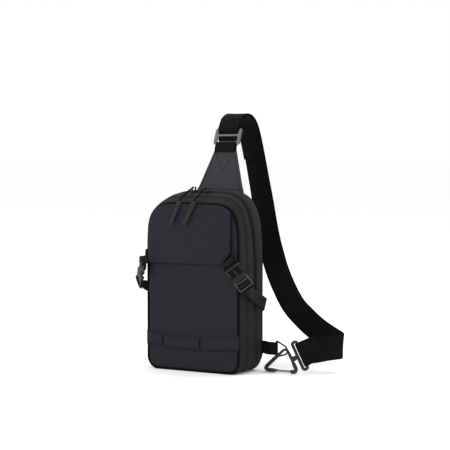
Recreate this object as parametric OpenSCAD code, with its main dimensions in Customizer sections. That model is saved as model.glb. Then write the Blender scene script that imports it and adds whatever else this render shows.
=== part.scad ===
// Sling bag: structured one-strap bag with a zipped main compartment, a front pocket under a
// buckled flap, a webbing shoulder strap and a swivelling triangular snap hook.
// Millimetres. +X is the wearer's left seen from the front, -Y is the front, +Z is up.
// The origin is the middle of the flat base.

/* [Body] */
// Half of the width of the front edge
front_half_w = 83.5; // [75:0.5:90]
// Half of the width of the back edge
rear_half_w = 85; // [76:0.5:92]
// Depth of the body, front edge to back edge
body_d = 70; // [60:1:80]
// Height of the front edge in the middle
body_h = 261.5; // [240:0.5:280]
// How much higher the back edge is than the front edge
top_rise = 18.5; // [10:0.5:24]
// Radius of the bottom corners
corner_r = 20; // [16:1:26]
// How far the back of the base lifts off the ground
rear_lift = 9; // [4:0.5:12]
// Thickness of the foam-backed fabric walls
wall = 2.5; // [2:0.1:3]

/* [Flap] */
// Left edge of the flap, measured from the middle
flap_left = 79.5; // [74:0.5:80]
// Right edge of the flap, measured from the middle
flap_right = 69.5; // [66:0.5:73]
// Height of the flap's lower edge
flap_bottom = 167.5; // [160:0.5:172]
// Thickness of the padded flap
flap_t = 3.4; // [2.5:0.1:3.6]
// Height of the front pocket's mouth
pocket_top = 192; // [186:1:200]

/* [Strap] */
// Width of the shoulder webbing
strap_w = 38; // [36:0.5:39]
// Thickness of the shoulder webbing
strap_t = 1.6; // [1.4:0.1:1.8]
// Width of the side straps and of the anchor tab
side_w = 19.5; // [18:0.5:20]
// Lean of the yoke and the slider buckle, from upright
yoke_lean = 22; // [18:1:26]

/* [Buckles] */
// Width of a side buckle
buckle_w = 24; // [23:0.5:26]
// Length of a closed side buckle
buckle_l = 48; // [46:1:50]
// Turn of the right buckle about the upright axis, from facing forwards
buckle_turn = 24; // [20:0.5:28]
// Turn of the left buckle, which hangs further round the side
left_buckle_turn = 40; // [36:0.5:44]
// Slope of the buckle's length below the horizontal
buckle_slope = 54; // [50:1:58]

/* [Hook] */
// Radius of the hook's bar
hook_r = 2.1; // [1.9:0.05:2.2]
// Radius of the wire of the triangular ring
ring_r = 1.4; // [1.2:0.1:1.5]
// Depth of the plane that the hook lies in, back from the middle
hook_y = 20.7; // [19:0.1:22]

/* [Hidden] */
$fn = 32;

fabric = [0.19, 0.19, 0.21];
webbing = [0.05, 0.05, 0.06];
plastic = [0.07, 0.07, 0.08];
metal = [0.12, 0.12, 0.13];
steel = [0.8, 0.8, 0.82];

front_y = -body_d / 2;
rear_y = body_d / 2;
flat_y = 22;            // the base is flat from the front to here
crown_z = 150;          // the rounded top starts at this height
zip_end_z = 95;         // the zip's two ends
front_power = 5.3;      // squareness of the front edge's top
rear_power = 3.9;       // squareness of the back edge's top
seam_y = front_y + 0.2; // front face of the gussets
back_t = 2.6;
board_y = rear_y - back_t; // front face of the back panel
piping_r = 1.6;
rear_piping_y = rear_y - 1.8;
rear_seam_y = rear_piping_y - piping_r - 0.2; // rear edge of the gussets
corner_steps = 5;
crown_steps = 18;
side_heights = [60, zip_end_z, 125];
half_n = corner_steps + 1 + len(side_heights) + crown_steps;
outline_n = 2 * half_n + 1;
zip_first = corner_steps + 2;        // the outline's point at the zip's right end
zip_last = outline_n - 1 - zip_first;

// ---------- curves ----------

function smooth(x) = let(t = max(0, min(1, x))) t * t * (3 - 2 * t);
function depth_share(y) = max(0, min(1, (y - front_y) / body_d));
function half_w(y) = front_half_w + (rear_half_w - front_half_w) * depth_share(y);
function top_z(y) = body_h + top_rise * (1 - pow(1 - depth_share(y), 2.2));
function power_at(y) = front_power + (rear_power - front_power) * depth_share(y);
function floor_z(y) = y < flat_y ? 0 : rear_lift * pow((y - flat_y) / (rear_y - flat_y), 2);

// Right half of the body's outline at depth y, from the base round to just before the top, [x, z]
function right_half(y, inset) = concat(
    [for (i = [0:corner_steps]) let(a = -90 + 90 * i / corner_steps)
        [half_w(y) - corner_r + (corner_r - inset) * cos(a),
         floor_z(y) + corner_r + (corner_r - inset) * sin(a)]],
    [for (z = side_heights) [half_w(y) - inset, z]],
    [for (i = [0:crown_steps - 1]) let(t = 90 * i / crown_steps, p = 2 / power_at(y))
        [(half_w(y) - inset) * pow(cos(t), p),
         crown_z + (top_z(y) - crown_z - inset) * pow(sin(t), p)]]);

// The whole outline, from the right of the base over the top to the left of the base
function outline(y, inset = 0) = let(r = right_half(y, inset)) concat(
    r, [[0, top_z(y) - inset]], [for (i = [len(r) - 1:-1:0]) [-r[i][0], r[i][1]]]);

// Depth of the stitched edge of the zip's lip, and of the zip itself, at height z
function lip_y(z) = -20 + 6 * (1 - smooth((z - crown_z) / 120));
function zip_y(z) = 10 * (1 - smooth((z - crown_z) / 120));

function catmull(p, steps) = concat(
    [for (i = [0:len(p) - 2], s = [0:steps - 1]) let(
        t = s / steps,
        a = p[max(i - 1, 0)], b = p[i], c = p[i + 1], d = p[min(i + 2, len(p) - 1)])
        0.5 * ((2 * b) + (c - a) * t + (2 * a - 5 * b + 4 * c - d) * t * t
            + (3 * b - a - 3 * c + d) * t * t * t)],
    [p[len(p) - 1]]);

// A closed path whose corners are rounded, for wires and rings. Corners are [x, y, z, radius].
function xyz(v) = [v[0], v[1], v[2]];
function rounded_loop(corners, steps) = let(n = len(corners)) [
    for (i = [0:n - 1]) let(
        c = xyz(corners[i]), r = corners[i][3],
        a = c + (xyz(corners[(i + n - 1) % n]) - c) / norm(xyz(corners[(i + n - 1) % n]) - c) * r,
        b = c + (xyz(corners[(i + 1) % n]) - c) / norm(xyz(corners[(i + 1) % n]) - c) * r)
    for (s = [0:steps]) let(t = s / steps)
        a * (1 - t) * (1 - t) + c * 2 * t * (1 - t) + b * t * t];

// ---------- solids from grids ----------

function quad(a, b, c, d) = [[a, b, c], [a, c, d]];
function flat(l) = [for (a = l, b = a) b];

// A sheet with thickness, between two grids of points of the same size
module slab(outer, inner) {
    nj = len(outer);
    nk = len(outer[0]);
    in0 = nj * nk;
    faces = flat(concat(
        [for (j = [0:nj - 2], k = [0:nk - 2])
            quad(j * nk + k, j * nk + k + 1, (j + 1) * nk + k + 1, (j + 1) * nk + k)],
        [for (j = [0:nj - 2], k = [0:nk - 2])
            quad(in0 + j * nk + k, in0 + (j + 1) * nk + k, in0 + (j + 1) * nk + k + 1, in0 + j * nk + k + 1)],
        [for (j = [0:nj - 2])
            quad(j * nk, (j + 1) * nk, in0 + (j + 1) * nk, in0 + j * nk)],
        [for (j = [0:nj - 2]) let(e = nk - 1)
            quad(j * nk + e, in0 + j * nk + e, in0 + (j + 1) * nk + e, (j + 1) * nk + e)],
        [for (k = [0:nk - 2]) quad(k, in0 + k, in0 + k + 1, k + 1)],
        [for (k = [0:nk - 2]) let(e = (nj - 1) * nk)
            quad(e + k, e + k + 1, in0 + e + k + 1, in0 + e + k)]));
    polyhedron(concat(flat(outer), flat(inner)), faces, convexity = 10);
}

// Flat webbing along stations [x, y, z, wx, wy, wz, width]; w is the direction of its width, which is
// turned square to the webbing's run unless square is false
module ribbon(stations, thick, square = true) {
    n = len(stations);
    frames = [for (i = [0:n - 1]) let(
        c = xyz(stations[i]),
        ahead = xyz(stations[min(i + 1, n - 1)]) - xyz(stations[max(i - 1, 0)]),
        t = ahead / norm(ahead),
        w0 = [stations[i][3], stations[i][4], stations[i][5]],
        w1 = square ? w0 - t * (w0 * t) : w0,
        w = w1 / norm(w1) * stations[i][6] / 2,
        nrm = cross(t, w) / norm(cross(t, w)) * thick / 2)
        [c, w, nrm]];
    slab([for (f = frames) [f[0] - f[1] + f[2], f[0] + f[1] + f[2]]],
         [for (f = frames) [f[0] - f[1] - f[2], f[0] + f[1] - f[2]]]);
}

// A round tube along a closed path that lies in a plane with that normal
module loop_tube(path, normal, r, sides) {
    n = len(path);
    rings = [for (i = [0:n - 1]) let(
        d = path[(i + 1) % n] - path[(i + n - 1) % n],
        t = d / norm(d), side = cross(normal, t))
        [for (s = [0:sides - 1]) let(a = 360 * s / sides) path[i] + r * (cos(a) * normal + sin(a) * side)]];
    faces = flat([for (i = [0:n - 1], s = [0:sides - 1]) let(
        i1 = (i + 1) % n, s1 = (s + 1) % sides)
        quad(i * sides + s, i * sides + s1, i1 * sides + s1, i1 * sides + s)]);
    polyhedron(flat(rings), faces, convexity = 10);
}

// A round tube along an open path, with flat ends
module open_tube(path, normal, r, sides) {
    n = len(path);
    rings = [for (i = [0:n - 1]) let(
        d = path[min(i + 1, n - 1)] - path[max(i - 1, 0)],
        t = d / norm(d), s0 = cross(normal, t), side = s0 / norm(s0), up = cross(t, side))
        [for (s = [0:sides - 1]) let(a = 360 * s / sides) path[i] + r * (cos(a) * up + sin(a) * side)]];
    faces = concat(
        flat([for (i = [0:n - 2], s = [0:sides - 1]) let(s1 = (s + 1) % sides)
            quad(i * sides + s, i * sides + s1, (i + 1) * sides + s1, (i + 1) * sides + s)]),
        [for (s = [1:sides - 2]) [0, s + 1, s]],
        [for (s = [1:sides - 2]) let(e = (n - 1) * sides) [e, e + s, e + s + 1]]);
    polyhedron(flat(rings), faces, convexity = 10);
}

// ---------- body panels ----------

// Part of the body's wall: the outline's points first..last, from depth y0 to depth y1. Depths
// below -90 and above 90 stand for the lines beside the lip and the zip.
function edge_y(code, z, gap) = code == "lip" ? lip_y(z) + gap : code == "zip" ? zip_y(z) + gap : code;
module wall_strip(y0, gap0, y1, gap1, first, last, steps, thick, inset = 0) {
    nominal0 = y0 == "lip" ? -18 : y0 == "zip" ? 4 : y0;
    nominal1 = y1 == "lip" ? -18 : y1 == "zip" ? 4 : y1;
    function grid(extra) = [for (j = [first:last]) [for (k = [0:steps]) let(
        s = k / steps,
        nominal = nominal0 + (nominal1 - nominal0) * s,
        p = outline(nominal, inset + extra)[j],
        y = edge_y(y0, p[1], gap0) * (1 - s) + edge_y(y1, p[1], gap1) * s)
        [p[0], y, p[1]]]];
    slab(grid(thick), grid(0));
}

// A flat panel that follows the body's outline at that depth
module outline_plate(y, thick, inset, z_max = 1000, depth = 0) {
    intersection() {
        translate([0, y + thick, 0]) rotate([90, 0, 0]) linear_extrude(thick)
            polygon(outline(depth == 0 ? y : depth, inset));
        translate([-200, y - 10, -10]) cube([400, thick + 20, z_max + 10]);
    }
}

module piping(y) {
    loop_tube([for (p = outline(y, piping_r)) [p[0], y, p[1]]], [0, 1, 0], piping_r, 6);
}

module front_gusset() { color(fabric) wall_strip(seam_y, 0, "lip", 0, 0, outline_n - 1, 2, wall); }
module rear_gusset() { color(fabric) wall_strip("zip", 2, rear_seam_y, 0, 0, outline_n - 1, 4, wall); }
module lower_gusset() {
    color(fabric) for (ends = [[0, zip_first], [zip_last, outline_n - 1]])
        wall_strip("lip", 0.2, "zip", 1.8, ends[0], ends[1], 3, wall);
}
module zip_lip() { color(fabric) wall_strip("lip", 0.2, "zip", -1.8, zip_first, zip_last, 2, wall); }
module zip_coil() {
    color(plastic) wall_strip("zip", -1.5, "zip", 1.7, zip_first + 1, zip_last - 1, 1, 1.4, 1.3);
}

module bottom_panel() {
    front_edge = half_w(seam_y) - corner_r - 0.3;
    rear_edge = half_w(rear_seam_y) - corner_r - 0.3;
    lift = [for (i = [0:6]) let(y = flat_y + (rear_seam_y - flat_y) * i / 6) [y, floor_z(y)]];
    profile = concat([[seam_y, 0]], lift, [for (i = [6:-1:0]) lift[i] + [0, wall]], [[seam_y, wall]]);
    color(fabric) intersection() {
        translate([-rear_edge, 0, 0]) rotate([90, 0, 90]) linear_extrude(2 * rear_edge) polygon(profile);
        linear_extrude(30, center = true) polygon([[-front_edge, seam_y], [front_edge, seam_y],
            [rear_edge, rear_seam_y], [-rear_edge, rear_seam_y]]);
    }
}

module back_panel() { color(fabric) outline_plate(board_y, back_t, 3.4, depth = rear_piping_y); }
module front_wall() { color(fabric) outline_plate(-27, 2.4, wall + 0.4); }
module front_pocket() { color(fabric) outline_plate(front_y - 2, 2.4, 3.5, pocket_top); }
module front_piping() { color(webbing) piping(front_y - piping_r); }
module rear_piping() { color(webbing) piping(rear_piping_y); }

pad_w = 62;
pad_t = 5;
pad_z = [30, 240];
pad_corner = 8;
module back_pads() {
    color(fabric) for (side = [-1, 1])
        translate([side * (pad_w / 2 + 6), rear_y + 0.1 + pad_t, 0])
            rotate([90, 0, 0]) linear_extrude(pad_t)
            offset(pad_corner) translate([-pad_w / 2 + pad_corner, pad_z[0] + pad_corner])
                square([pad_w - 2 * pad_corner, pad_z[1] - pad_z[0] - 2 * pad_corner]);
}

module stiffener_board() { color(plastic) outline_plate(board_y - 1.3, 1, 9); }
module inner_pocket() { color(fabric) outline_plate(20, 1.2, 7, 160); }

module pocket_binding() {
    color(webbing) difference() {
        translate([-78, front_y - 2.5, pocket_top - 4]) cube([156, 3.4, 5]);
        translate([-80, front_y - 2, pocket_top - 6]) cube([160, 2.4, 6]);
    }
}

// ---------- utility band ----------

band_h = 21;
band_y = front_y - 2.9;
function band_z(x) = 44 + 5.5 * pow(x / front_half_w, 2);
band_x = front_half_w - 4.3;
module utility_band() {
    color(fabric) ribbon([for (i = [0:16]) let(x = -band_x + 2 * band_x * i / 16)
        [x, band_y, band_z(x), 0, 0, 1, band_h]], 1.4);
}
module band_bartacks() {
    color(webbing) for (x = [-53.5, 14.5])
        translate([x - 1, band_y - 1.3, band_z(x) - 8]) cube([2, 0.5, 16]);
}

// ---------- zip sliders and pulls ----------

slider_z = 277.4;
slider_y = 0;
module zip_slider(x) {
    color(metal) translate([x, slider_y, slider_z]) {
        linear_extrude(2.2) polygon([[-6, -3], [-3, -4.5], [6, -4], [6, 4], [-3, 4.5], [-6, 3]]);
        translate([-4, -1.4, 2]) cube([1.8, 2.8, 5.4]);
        translate([2.6, -1.4, 2]) cube([1.8, 2.8, 5.4]);
        translate([-4, -1.4, 6.6]) cube([8.4, 2.8, 1.6]);
    }
}
// The cord's two legs run from the slider's bail forwards over the top edge to the tab
module pull_cord(x, tab_x) {
    color(webbing) for (side = [-1.1, 1.1])
        open_tube([[x + side, -2.6, slider_z + 5.2], [x + side, -12, slider_z + 3.4],
            [x + side + (tab_x - x) * 0.6, -28, slider_z - 4.5], [tab_x + side, -40.5, 267.6],
            [tab_x + side, -44.3, 264.6]], [1, 0, 0], 0.8, 6);
}
module pull_tab(tab_x, foot_x) {
    lean = atan((tab_x - foot_x) / 37);
    color(plastic) translate([tab_x, -44.9, 262.8]) rotate([-5, lean, 0])
        translate([-3.2, -1.3, -38]) cube([6.4, 2.6, 38]);
}
left_slider_x = -20;
right_slider_x = 4;
left_tab_x = -19;
right_tab_x = 8;
module left_slider() { mirror_about(left_slider_x) zip_slider(left_slider_x); }
module right_slider() { zip_slider(right_slider_x); }
module mirror_about(x) { translate([2 * x, 0, 0]) mirror([1, 0, 0]) children(); }
module left_pull_cord() { pull_cord(left_slider_x, left_tab_x); }
module right_pull_cord() { pull_cord(right_slider_x, right_tab_x); }
module left_pull_tab() { pull_tab(left_tab_x, -34); }
module right_pull_tab() { pull_tab(right_tab_x, -10); }

// ---------- flap and side buckles ----------

flap_face = front_y - 7.4;
flap_back = flap_face + flap_t;
flap_top = body_h - 7.5;
chamfer = [16, 18];
module flap_plate(points) {
    translate([0, flap_back, 0]) rotate([90, 0, 0]) linear_extrude(flap_t)
        intersection() { polygon(outline(front_y, 3.6)); polygon(points); }
}
module flap() {
    color(fabric) flap_plate([[-flap_left, flap_bottom + 3], [-flap_left + 3, flap_bottom],
        [flap_right - chamfer[0], flap_bottom], [flap_right, flap_bottom + chamfer[1]],
        [flap_right, flap_top], [-flap_left, flap_top]]);
}
// The strip along the top that the flap is sewn down by
module flap_seam() {
    color(fabric) flap_plate([[-flap_left, flap_top + 0.5], [flap_right, flap_top + 0.5],
        [flap_right, body_h], [-flap_left, body_h]]);
}

// A buckle's frame: its middle, the direction of its length down the strap, of its width, and outwards
function buckle_frame(at, turn) = let(across = [cos(turn), sin(turn), 0]) [
    at, across * cos(buckle_slope) - [0, 0, sin(buckle_slope)],
    -across * sin(buckle_slope) - [0, 0, cos(buckle_slope)], [sin(turn), -cos(turn), 0]];
right_frame = buckle_frame([84.6, -43.6, 153.7], buckle_turn);
left_frame = buckle_frame([95.7, -36, 150.5], left_buckle_turn); // before it is mirrored
module at_buckle(f) {
    multmatrix([[f[2][0], f[1][0], f[3][0], f[0][0]],
                [f[2][1], f[1][1], f[3][1], f[0][1]],
                [f[2][2], f[1][2], f[3][2], f[0][2]],
                [0, 0, 0, 1]]) children();
}
function buckle_point(f, y, z) = f[0] + f[1] * y + f[3] * z;

hw = buckle_w / 2;
hl = buckle_l / 2;
mouth_y = 5;          // the socket ends here, along the buckle
window_y = [-12, -1]; // the side windows, where the prongs show
module buckle_socket() {
    color(plastic) {
        difference() { // the frame round the webbing bar
            translate([-hw, -hl, -2.4]) cube([buckle_w, 11, 5.2]);
            translate([-hw + 2.2, -hl + 2.4, -3]) cube([buckle_w - 4.4, 5.8, 7]);
        }
        translate([0, 0, 1]) linear_extrude(1.8) polygon([
            [-hw, -hl + 10], [-hw, window_y[0] - 1.4],
            [-hw + 4.4, window_y[0] + 1], [-hw + 4.4, window_y[1] - 1.6],
            [-hw, window_y[1] + 0.6], [-hw, mouth_y], [hw, mouth_y], [hw, window_y[1] + 0.6],
            [hw - 4.4, window_y[1] - 1.6], [hw - 4.4, window_y[0] + 1],
            [hw, window_y[0] - 1.4], [hw, -hl + 10]]);
        for (side = [-1, 1]) // the mouth's side walls
            translate([side * (hw - 0.8) - 0.8, window_y[1] + 0.6, -2.4])
                cube([1.6, mouth_y - window_y[1] - 0.6, 3.6]);
    }
}
module buckle_plug() {
    color(plastic) {
        difference() {
            translate([-hw, mouth_y + 1, -2.4]) cube([buckle_w, hl - mouth_y - 1, 4.8]);
            translate([-hw + 2, 12, -3]) cube([buckle_w - 4, 4, 6]);
            translate([-hw + 2, 18.2, -3]) cube([buckle_w - 4, 3.6, 6]);
        }
        translate([-1.6, window_y[0] + 1, -1.6]) cube([3.2, mouth_y - window_y[0] + 0.5, 2.2]);
    }
}
// One sprung arm, from its root in the plug to the head that shows in the socket's side window
module prong(side) {
    color(plastic) translate([0, 0, -1.8]) linear_extrude(2.4)
        polygon([for (p = [[4.4, mouth_y + 0.4], [4.4, -5], [6, -11], [8.8, -11.4], [11, -8.6],
            [11.4, -4.4],
            [9, -3.4], [7.2, -2.2], [7.2, mouth_y + 0.4]]) [side * p[0], p[1]]]);
}
// The loop of webbing from behind the flap's edge round the socket's bar
module flap_loop(f, hidden) {
    shown = [for (p = [[-hl - 3.4, -4.4], [-hl - 1.3, -1.6], [-hl - 1.3, 2.2], [-hl - 0.4, 4],
            [-hl + 2, 4.3], [-hl + 3.5, 3.4], [-hl + 3.5, -1.4]])
        concat(buckle_point(f, p[0], p[1]), f[2], [side_w])];
    color(webbing) ribbon(concat(hidden, shown), 1.2, square = false);
}
loop_y = flap_back + 0.7;
// On the right it starts behind the flap's cut corner
right_hidden = let(
    cut = [chamfer[1], 0, -chamfer[0]] / norm(chamfer),
    middle = [flap_right - chamfer[0] / 2, loop_y, flap_bottom + chamfer[1] / 2])
    [for (d = [-9, 1.8]) concat(middle + cut * d, [-chamfer[0], 0, -chamfer[1]] / norm(chamfer), [side_w])];
// On the left it starts behind the flap's upright edge
left_hidden = [
    [flap_left - 9, loop_y, flap_bottom + 11.5, 0, 0, -1, side_w],
    [flap_left + 1.1, loop_y, flap_bottom + 11.5, 0, 0, -1, side_w],
    [flap_left + 2.7, flap_face, flap_bottom + 9.5, -0.12, -0.1, -0.98, side_w]];

// A side strap's way from under its buckle to the back
under = [-3.2, -4.8]; // the doubled end and the strap, below the plug's middle
right_bends = [[95.9, -27.5, 130], [93.6, -19, 126], [88.4, 2, 118]];
left_bends = [[100.3, -13, 127], [95.5, -3, 122.5], [89.2, 12, 115]];
side_end = [[87.4, 22, 110], [87.8, 32.4, 105], [87, 38.2, 102.6], [79, 37.4, 100]];
half_turned = [-0.4, -0.34, -0.85]; // width direction half-way between the buckle's and the side's
module side_strap(f, bends) {
    color(webbing) ribbon(concat(
        [for (y = [15.2, hl + 1]) concat(buckle_point(f, y, under[1]), f[2], [side_w])],
        [concat(bends[0], half_turned, [side_w])],
        [for (p = concat([bends[1], bends[2]], side_end))
            concat(p, [0, p[0] < 80 ? 0 : -0.4, -0.92, side_w])]),
        1.2, square = false);
}
// The doubled end goes up through the plug and over its bar, and sticks out past the buckle
tail_l = 4;
module strap_tail(f) {
    color(webbing) ribbon([for (p = [[15.1, under[1] + 1], [15.1, 2.2], [16, 3.6], [18.4, 3.6], [20.2, 1.4],
        [20.4, -1.8], [21.6, under[0]], [hl + 1, under[0]], [hl + tail_l, under[0] + 0.8]])
        concat(buckle_point(f, p[0], p[1]), f[2], [side_w])], 1.2);
}
module on_left() { mirror([1, 0, 0]) children(); }
module left_flap_loop() { on_left() flap_loop(left_frame, left_hidden); }
module right_flap_loop() { flap_loop(right_frame, right_hidden); }
module left_buckle_socket() { on_left() at_buckle(left_frame) buckle_socket(); }
module right_buckle_socket() { at_buckle(right_frame) buckle_socket(); }
module left_buckle_plug() { on_left() at_buckle(left_frame) buckle_plug(); }
module right_buckle_plug() { at_buckle(right_frame) buckle_plug(); }
module left_upper_prong() { on_left() at_buckle(left_frame) prong(-1); }
module left_lower_prong() { on_left() at_buckle(left_frame) prong(1); }
module right_upper_prong() { at_buckle(right_frame) prong(-1); }
module right_lower_prong() { at_buckle(right_frame) prong(1); }
module left_side_strap() { on_left() side_strap(left_frame, left_bends); }
module right_side_strap() { side_strap(right_frame, right_bends); }
module left_strap_tail() { on_left() strap_tail(left_frame); }
module right_strap_tail() { strap_tail(right_frame); }

// ---------- yoke, slider buckle and shoulder strap ----------

glide_at = [3, 66, 364];
glide_v = [0, sin(yoke_lean), cos(yoke_lean)];
glide_n = [0, -cos(yoke_lean), sin(yoke_lean)];
function glide_point(x, v, n) = glide_at + [x, 0, 0] + glide_v * v + glide_n * n;

yoke_t = 3.4;
module yoke() {
    stations = [[6, rear_y + 2, 262, 88], [6, rear_y + 2, 280, 84], [5.6, rear_y + 5.2, 289, 76.5],
        [3.4, 58, 341, 41]];
    color(fabric) ribbon([for (s = stations) [s[0], s[1], s[2], 1, 0, 0, s[3]]], yoke_t);
}
module yoke_loop() {
    front = [for (a = [90:-30:-90]) [-12 + 2.5 * cos(a), 2.5 * sin(a)]];
    back = [[-18, -2.7], [-23, -4], [-30, -4.6]];
    color(webbing) ribbon([for (p = concat([[-27, 1.7], [-19, 2.8]], front, back))
        concat(glide_point(0, p[0], p[1]), [1, 0, 0], [strap_w - 1])], 1.2);
}
module slider_buckle() {
    frame = rounded_loop([for (c = [[-22, -12], [22, -12], [22, 12], [-22, 12]])
        concat(glide_point(c[0], c[1], 0), [5])], 4);
    color(metal) {
        loop_tube(frame, glide_n, 1.6, 8);
        open_tube([for (x = [-21.4, 0, 21.4]) glide_point(x, 2, 0)], glide_n, 1.5, 8);
    }
}

// Middle of the shoulder webbing and the direction of its width, from the slider buckle over the
// top, down behind the bag, round the turn on the right and back to the strap ring
strap_route = [
    [3, 78, 393, 1, 0, 0], [6, 90, 400, 1, 0, 0], [9, 104, 396.5, 1, 0, 0], [11, 117, 382, 1, 0, 0],
    [12, 130, 352, 1, 0, 0], [14.5, 144, 302, 1, 0.05, 0], [18.5, 150, 265.5, 1, 0.1, 0],
    [28, 150, 214, 1, 0.2, 0.1], [39, 146, 178, 1, 0.3, 0.15], [58, 135, 141, 1, 0.6, 0.25],
    [90, 120, 98.5, 0.85, 0.6, 0.5], [123, 105, 75.5, 0.75, 0.4, 0.75], [151.5, 93, 60.5, 0.6, 0.2, 0.85],
    [180, 84, 49, 0.4, 0.1, 1], [199, 77, 43, 0.15, 0, 1], [205.5, 70, 41, 0.05, 0, 1],
    [203, 62.5, 40.5, 0.05, 0, 1], [190, 47, 39, 0, 0, 1], [179, 34, 37.2, -0.3, 0, 0.95]];
strap_start = [for (p = [[-5, -3.1], [2, -3.1], [6.6, -0.6], [12, 3.1], [19, 2.6]])
    concat(glide_point(0, p[0], p[1]), [1, 0, 0])];
// The free length of the webbing doubles back under the strap, from the slider buckle over the top
tail_route = concat(
    [for (p = [[-6, -5.4], [4, -5.6], [14, -4.4], [20, -0.2]])
        concat(glide_point(0, p[0], p[1]), [1, 0, 0])],
    [for (p = [[3.4, 78.8, 390.2], [6.4, 90, 397], [9.2, 102, 393.6], [10.8, 113.8, 380],
        [11.6, 126, 352], [13, 133, 328]]) concat(p, [1, 0, 0])]);
module shoulder_strap_tail() {
    color(webbing) ribbon([for (s = catmull(tail_route, 2)) concat(s, [strap_w])], strap_t);
}

// ---------- anchor tab, ring, hook and strap ring ----------

bar_at = [110.5, 30.6, 35.5];
ring_turn = 28;
ring_dir = [cos(ring_turn), -sin(ring_turn), 0];
ring_len = 24;
apex_r = 6.5;
module anchor_tab() {
    half = 2.3;
    wrap = [for (a = [-90:30:90]) [bar_at[0] + half * cos(a), bar_at[1] + half * sin(a)]];
    path = concat([[80, 37.6], [86.6, 37.4], [90, 32.8], [98, 28.8]], wrap,
        [[98, 32.8], [91, 36.4], [88, 39.4], [80, 39.6]]);
    color(webbing) ribbon([for (p = path) [p[0], p[1], bar_at[2], 0, 0, 1, side_w]], 1.1);
}
module triangle_ring() {
    half = 12.5;
    apex = [for (i = [0:8]) let(a = 90 - 180 * i / 8) [ring_len + apex_r * cos(a), apex_r * sin(a)]];
    bar = [for (i = [0:6]) let(z = -half + 3 + (2 * half - 6) * i / 6) [0, z]];
    path = concat(bar, [[1, half - 0.6], [3, half - 0.9]], apex, [[3, -half + 0.9], [1, -half + 0.6]]);
    color(metal) loop_tube([for (p = path) bar_at + ring_dir * p[0] + [0, 0, p[1]]],
        cross(ring_dir, [0, 0, 1]), ring_r, 8);
}

hook_apex = [133.5, 40];
hook_left = [93, 3.4];
hook_right = [153, 3.4];
gate_from = 112;
gate_to = 142;
leg_dir = (hook_right - hook_apex) / norm(hook_right - hook_apex);
swivel_dir = [-leg_dir[1], leg_dir[0]]; // away from the hook, in its plane
swivel_at = (hook_apex + hook_right) / 2;
function hook_xyz(p) = [p[0], hook_y, p[1]];
ring_near = 11.5; // distance of the strap ring's near bar from the hook's leg
ring_far = 20;
function ring_point(out, back) = hook_xyz(swivel_at + swivel_dir * (ring_far + out)) + [0, back, 0];
function corner_curve(before, corner, after, r, steps) = let(
    a = corner + (before - corner) / norm(before - corner) * r,
    b = corner + (after - corner) / norm(after - corner) * r)
    [for (s = [0:steps]) let(t = s / steps) a * (1 - t) * (1 - t) + corner * 2 * t * (1 - t) + b * t * t];
module along_swivel() {
    translate(hook_xyz(swivel_at)) rotate([0, atan2(swivel_dir[0], swivel_dir[1]), 0]) children();
}
post_r = 1.6;
head_r = 2.4;
boss = [1, 6.2]; // from here to here along the swivel, measured from the leg's middle
head = [2.8, 4.2];
module hook_body() {
    path = concat([[gate_to + 1, hook_right[1]]],
        corner_curve([gate_to, hook_right[1]], hook_right, hook_apex, 8, 5),
        [swivel_at],
        corner_curve(hook_right, hook_apex, hook_left, 9, 6),
        corner_curve(hook_apex, hook_left, [gate_from, hook_left[1]], 12, 7),
        [[gate_from - 1, hook_left[1]]]);
    color(metal) difference() {
        union() {
            open_tube([for (p = path) hook_xyz(p)], [0, 1, 0], hook_r, 10);
            along_swivel() translate([0, 0, boss[0]]) cylinder(r = 4, h = boss[1] - boss[0]);
            for (side = [-1, 1]) gate_ear(side);
        }
        along_swivel() translate([0, 0, head[0] - 0.2])
            cylinder(r = head_r + 0.2, h = head[1] - head[0] + 0.4);
        along_swivel() translate([0, 0, head[1]]) cylinder(r = post_r + 0.05, h = 8);
        translate([gate_pivot[0], hook_y + 6, gate_pivot[1]]) rotate([90, 0, 0])
            cylinder(r = pin_r, h = 12);
    }
}
gate_pivot = [gate_from + 3, hook_left[1]];
gate_r = 1.7;
pin_r = 0.8;
ear = [gate_r + 0.35, 1.1]; // its inner face from the middle of the bar, and its thickness
module gate_ear(side) {
    translate([0, hook_y + side * (ear[0] + ear[1] / 2) + ear[1] / 2, gate_pivot[1]]) rotate([90, 0, 0]) {
        translate([gate_pivot[0], 0, 0]) cylinder(r = 1.9, h = ear[1]);
        translate([gate_from - 6, -1.9, 0]) cube([9, 3.8, ear[1]]);
    }
    translate([gate_from - 6, hook_y + (side < 0 ? -ear[0] - ear[1] : 0), gate_pivot[1] - 1.9])
        cube([5, ear[0] + ear[1], 3.8]);
}
module gate_bar(from, to, r) {
    translate([from, hook_y, gate_pivot[1]]) rotate([0, 90, 0]) cylinder(r = r, h = to - from);
}
module hook_gate() {
    color(steel) difference() {
        gate_bar(gate_from + 0.8, gate_to + 0.5, gate_r);
        translate([gate_pivot[0], hook_y + 4, gate_pivot[1]]) rotate([90, 0, 0])
            cylinder(r = pin_r + 0.05, h = 8);
    }
}
module gate_pin() {
    half = ear[0] + ear[1];
    color(steel) translate([gate_pivot[0], hook_y + half, gate_pivot[1]]) rotate([90, 0, 0])
        cylinder(r = pin_r, h = 2 * half);
}
module swivel_post() {
    color(steel) along_swivel() {
        translate([0, 0, head[0]]) cylinder(r = head_r, h = head[1] - head[0]);
        translate([0, 0, head[1]]) cylinder(r = post_r, h = 9.2 - head[1]);
    }
}
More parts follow.
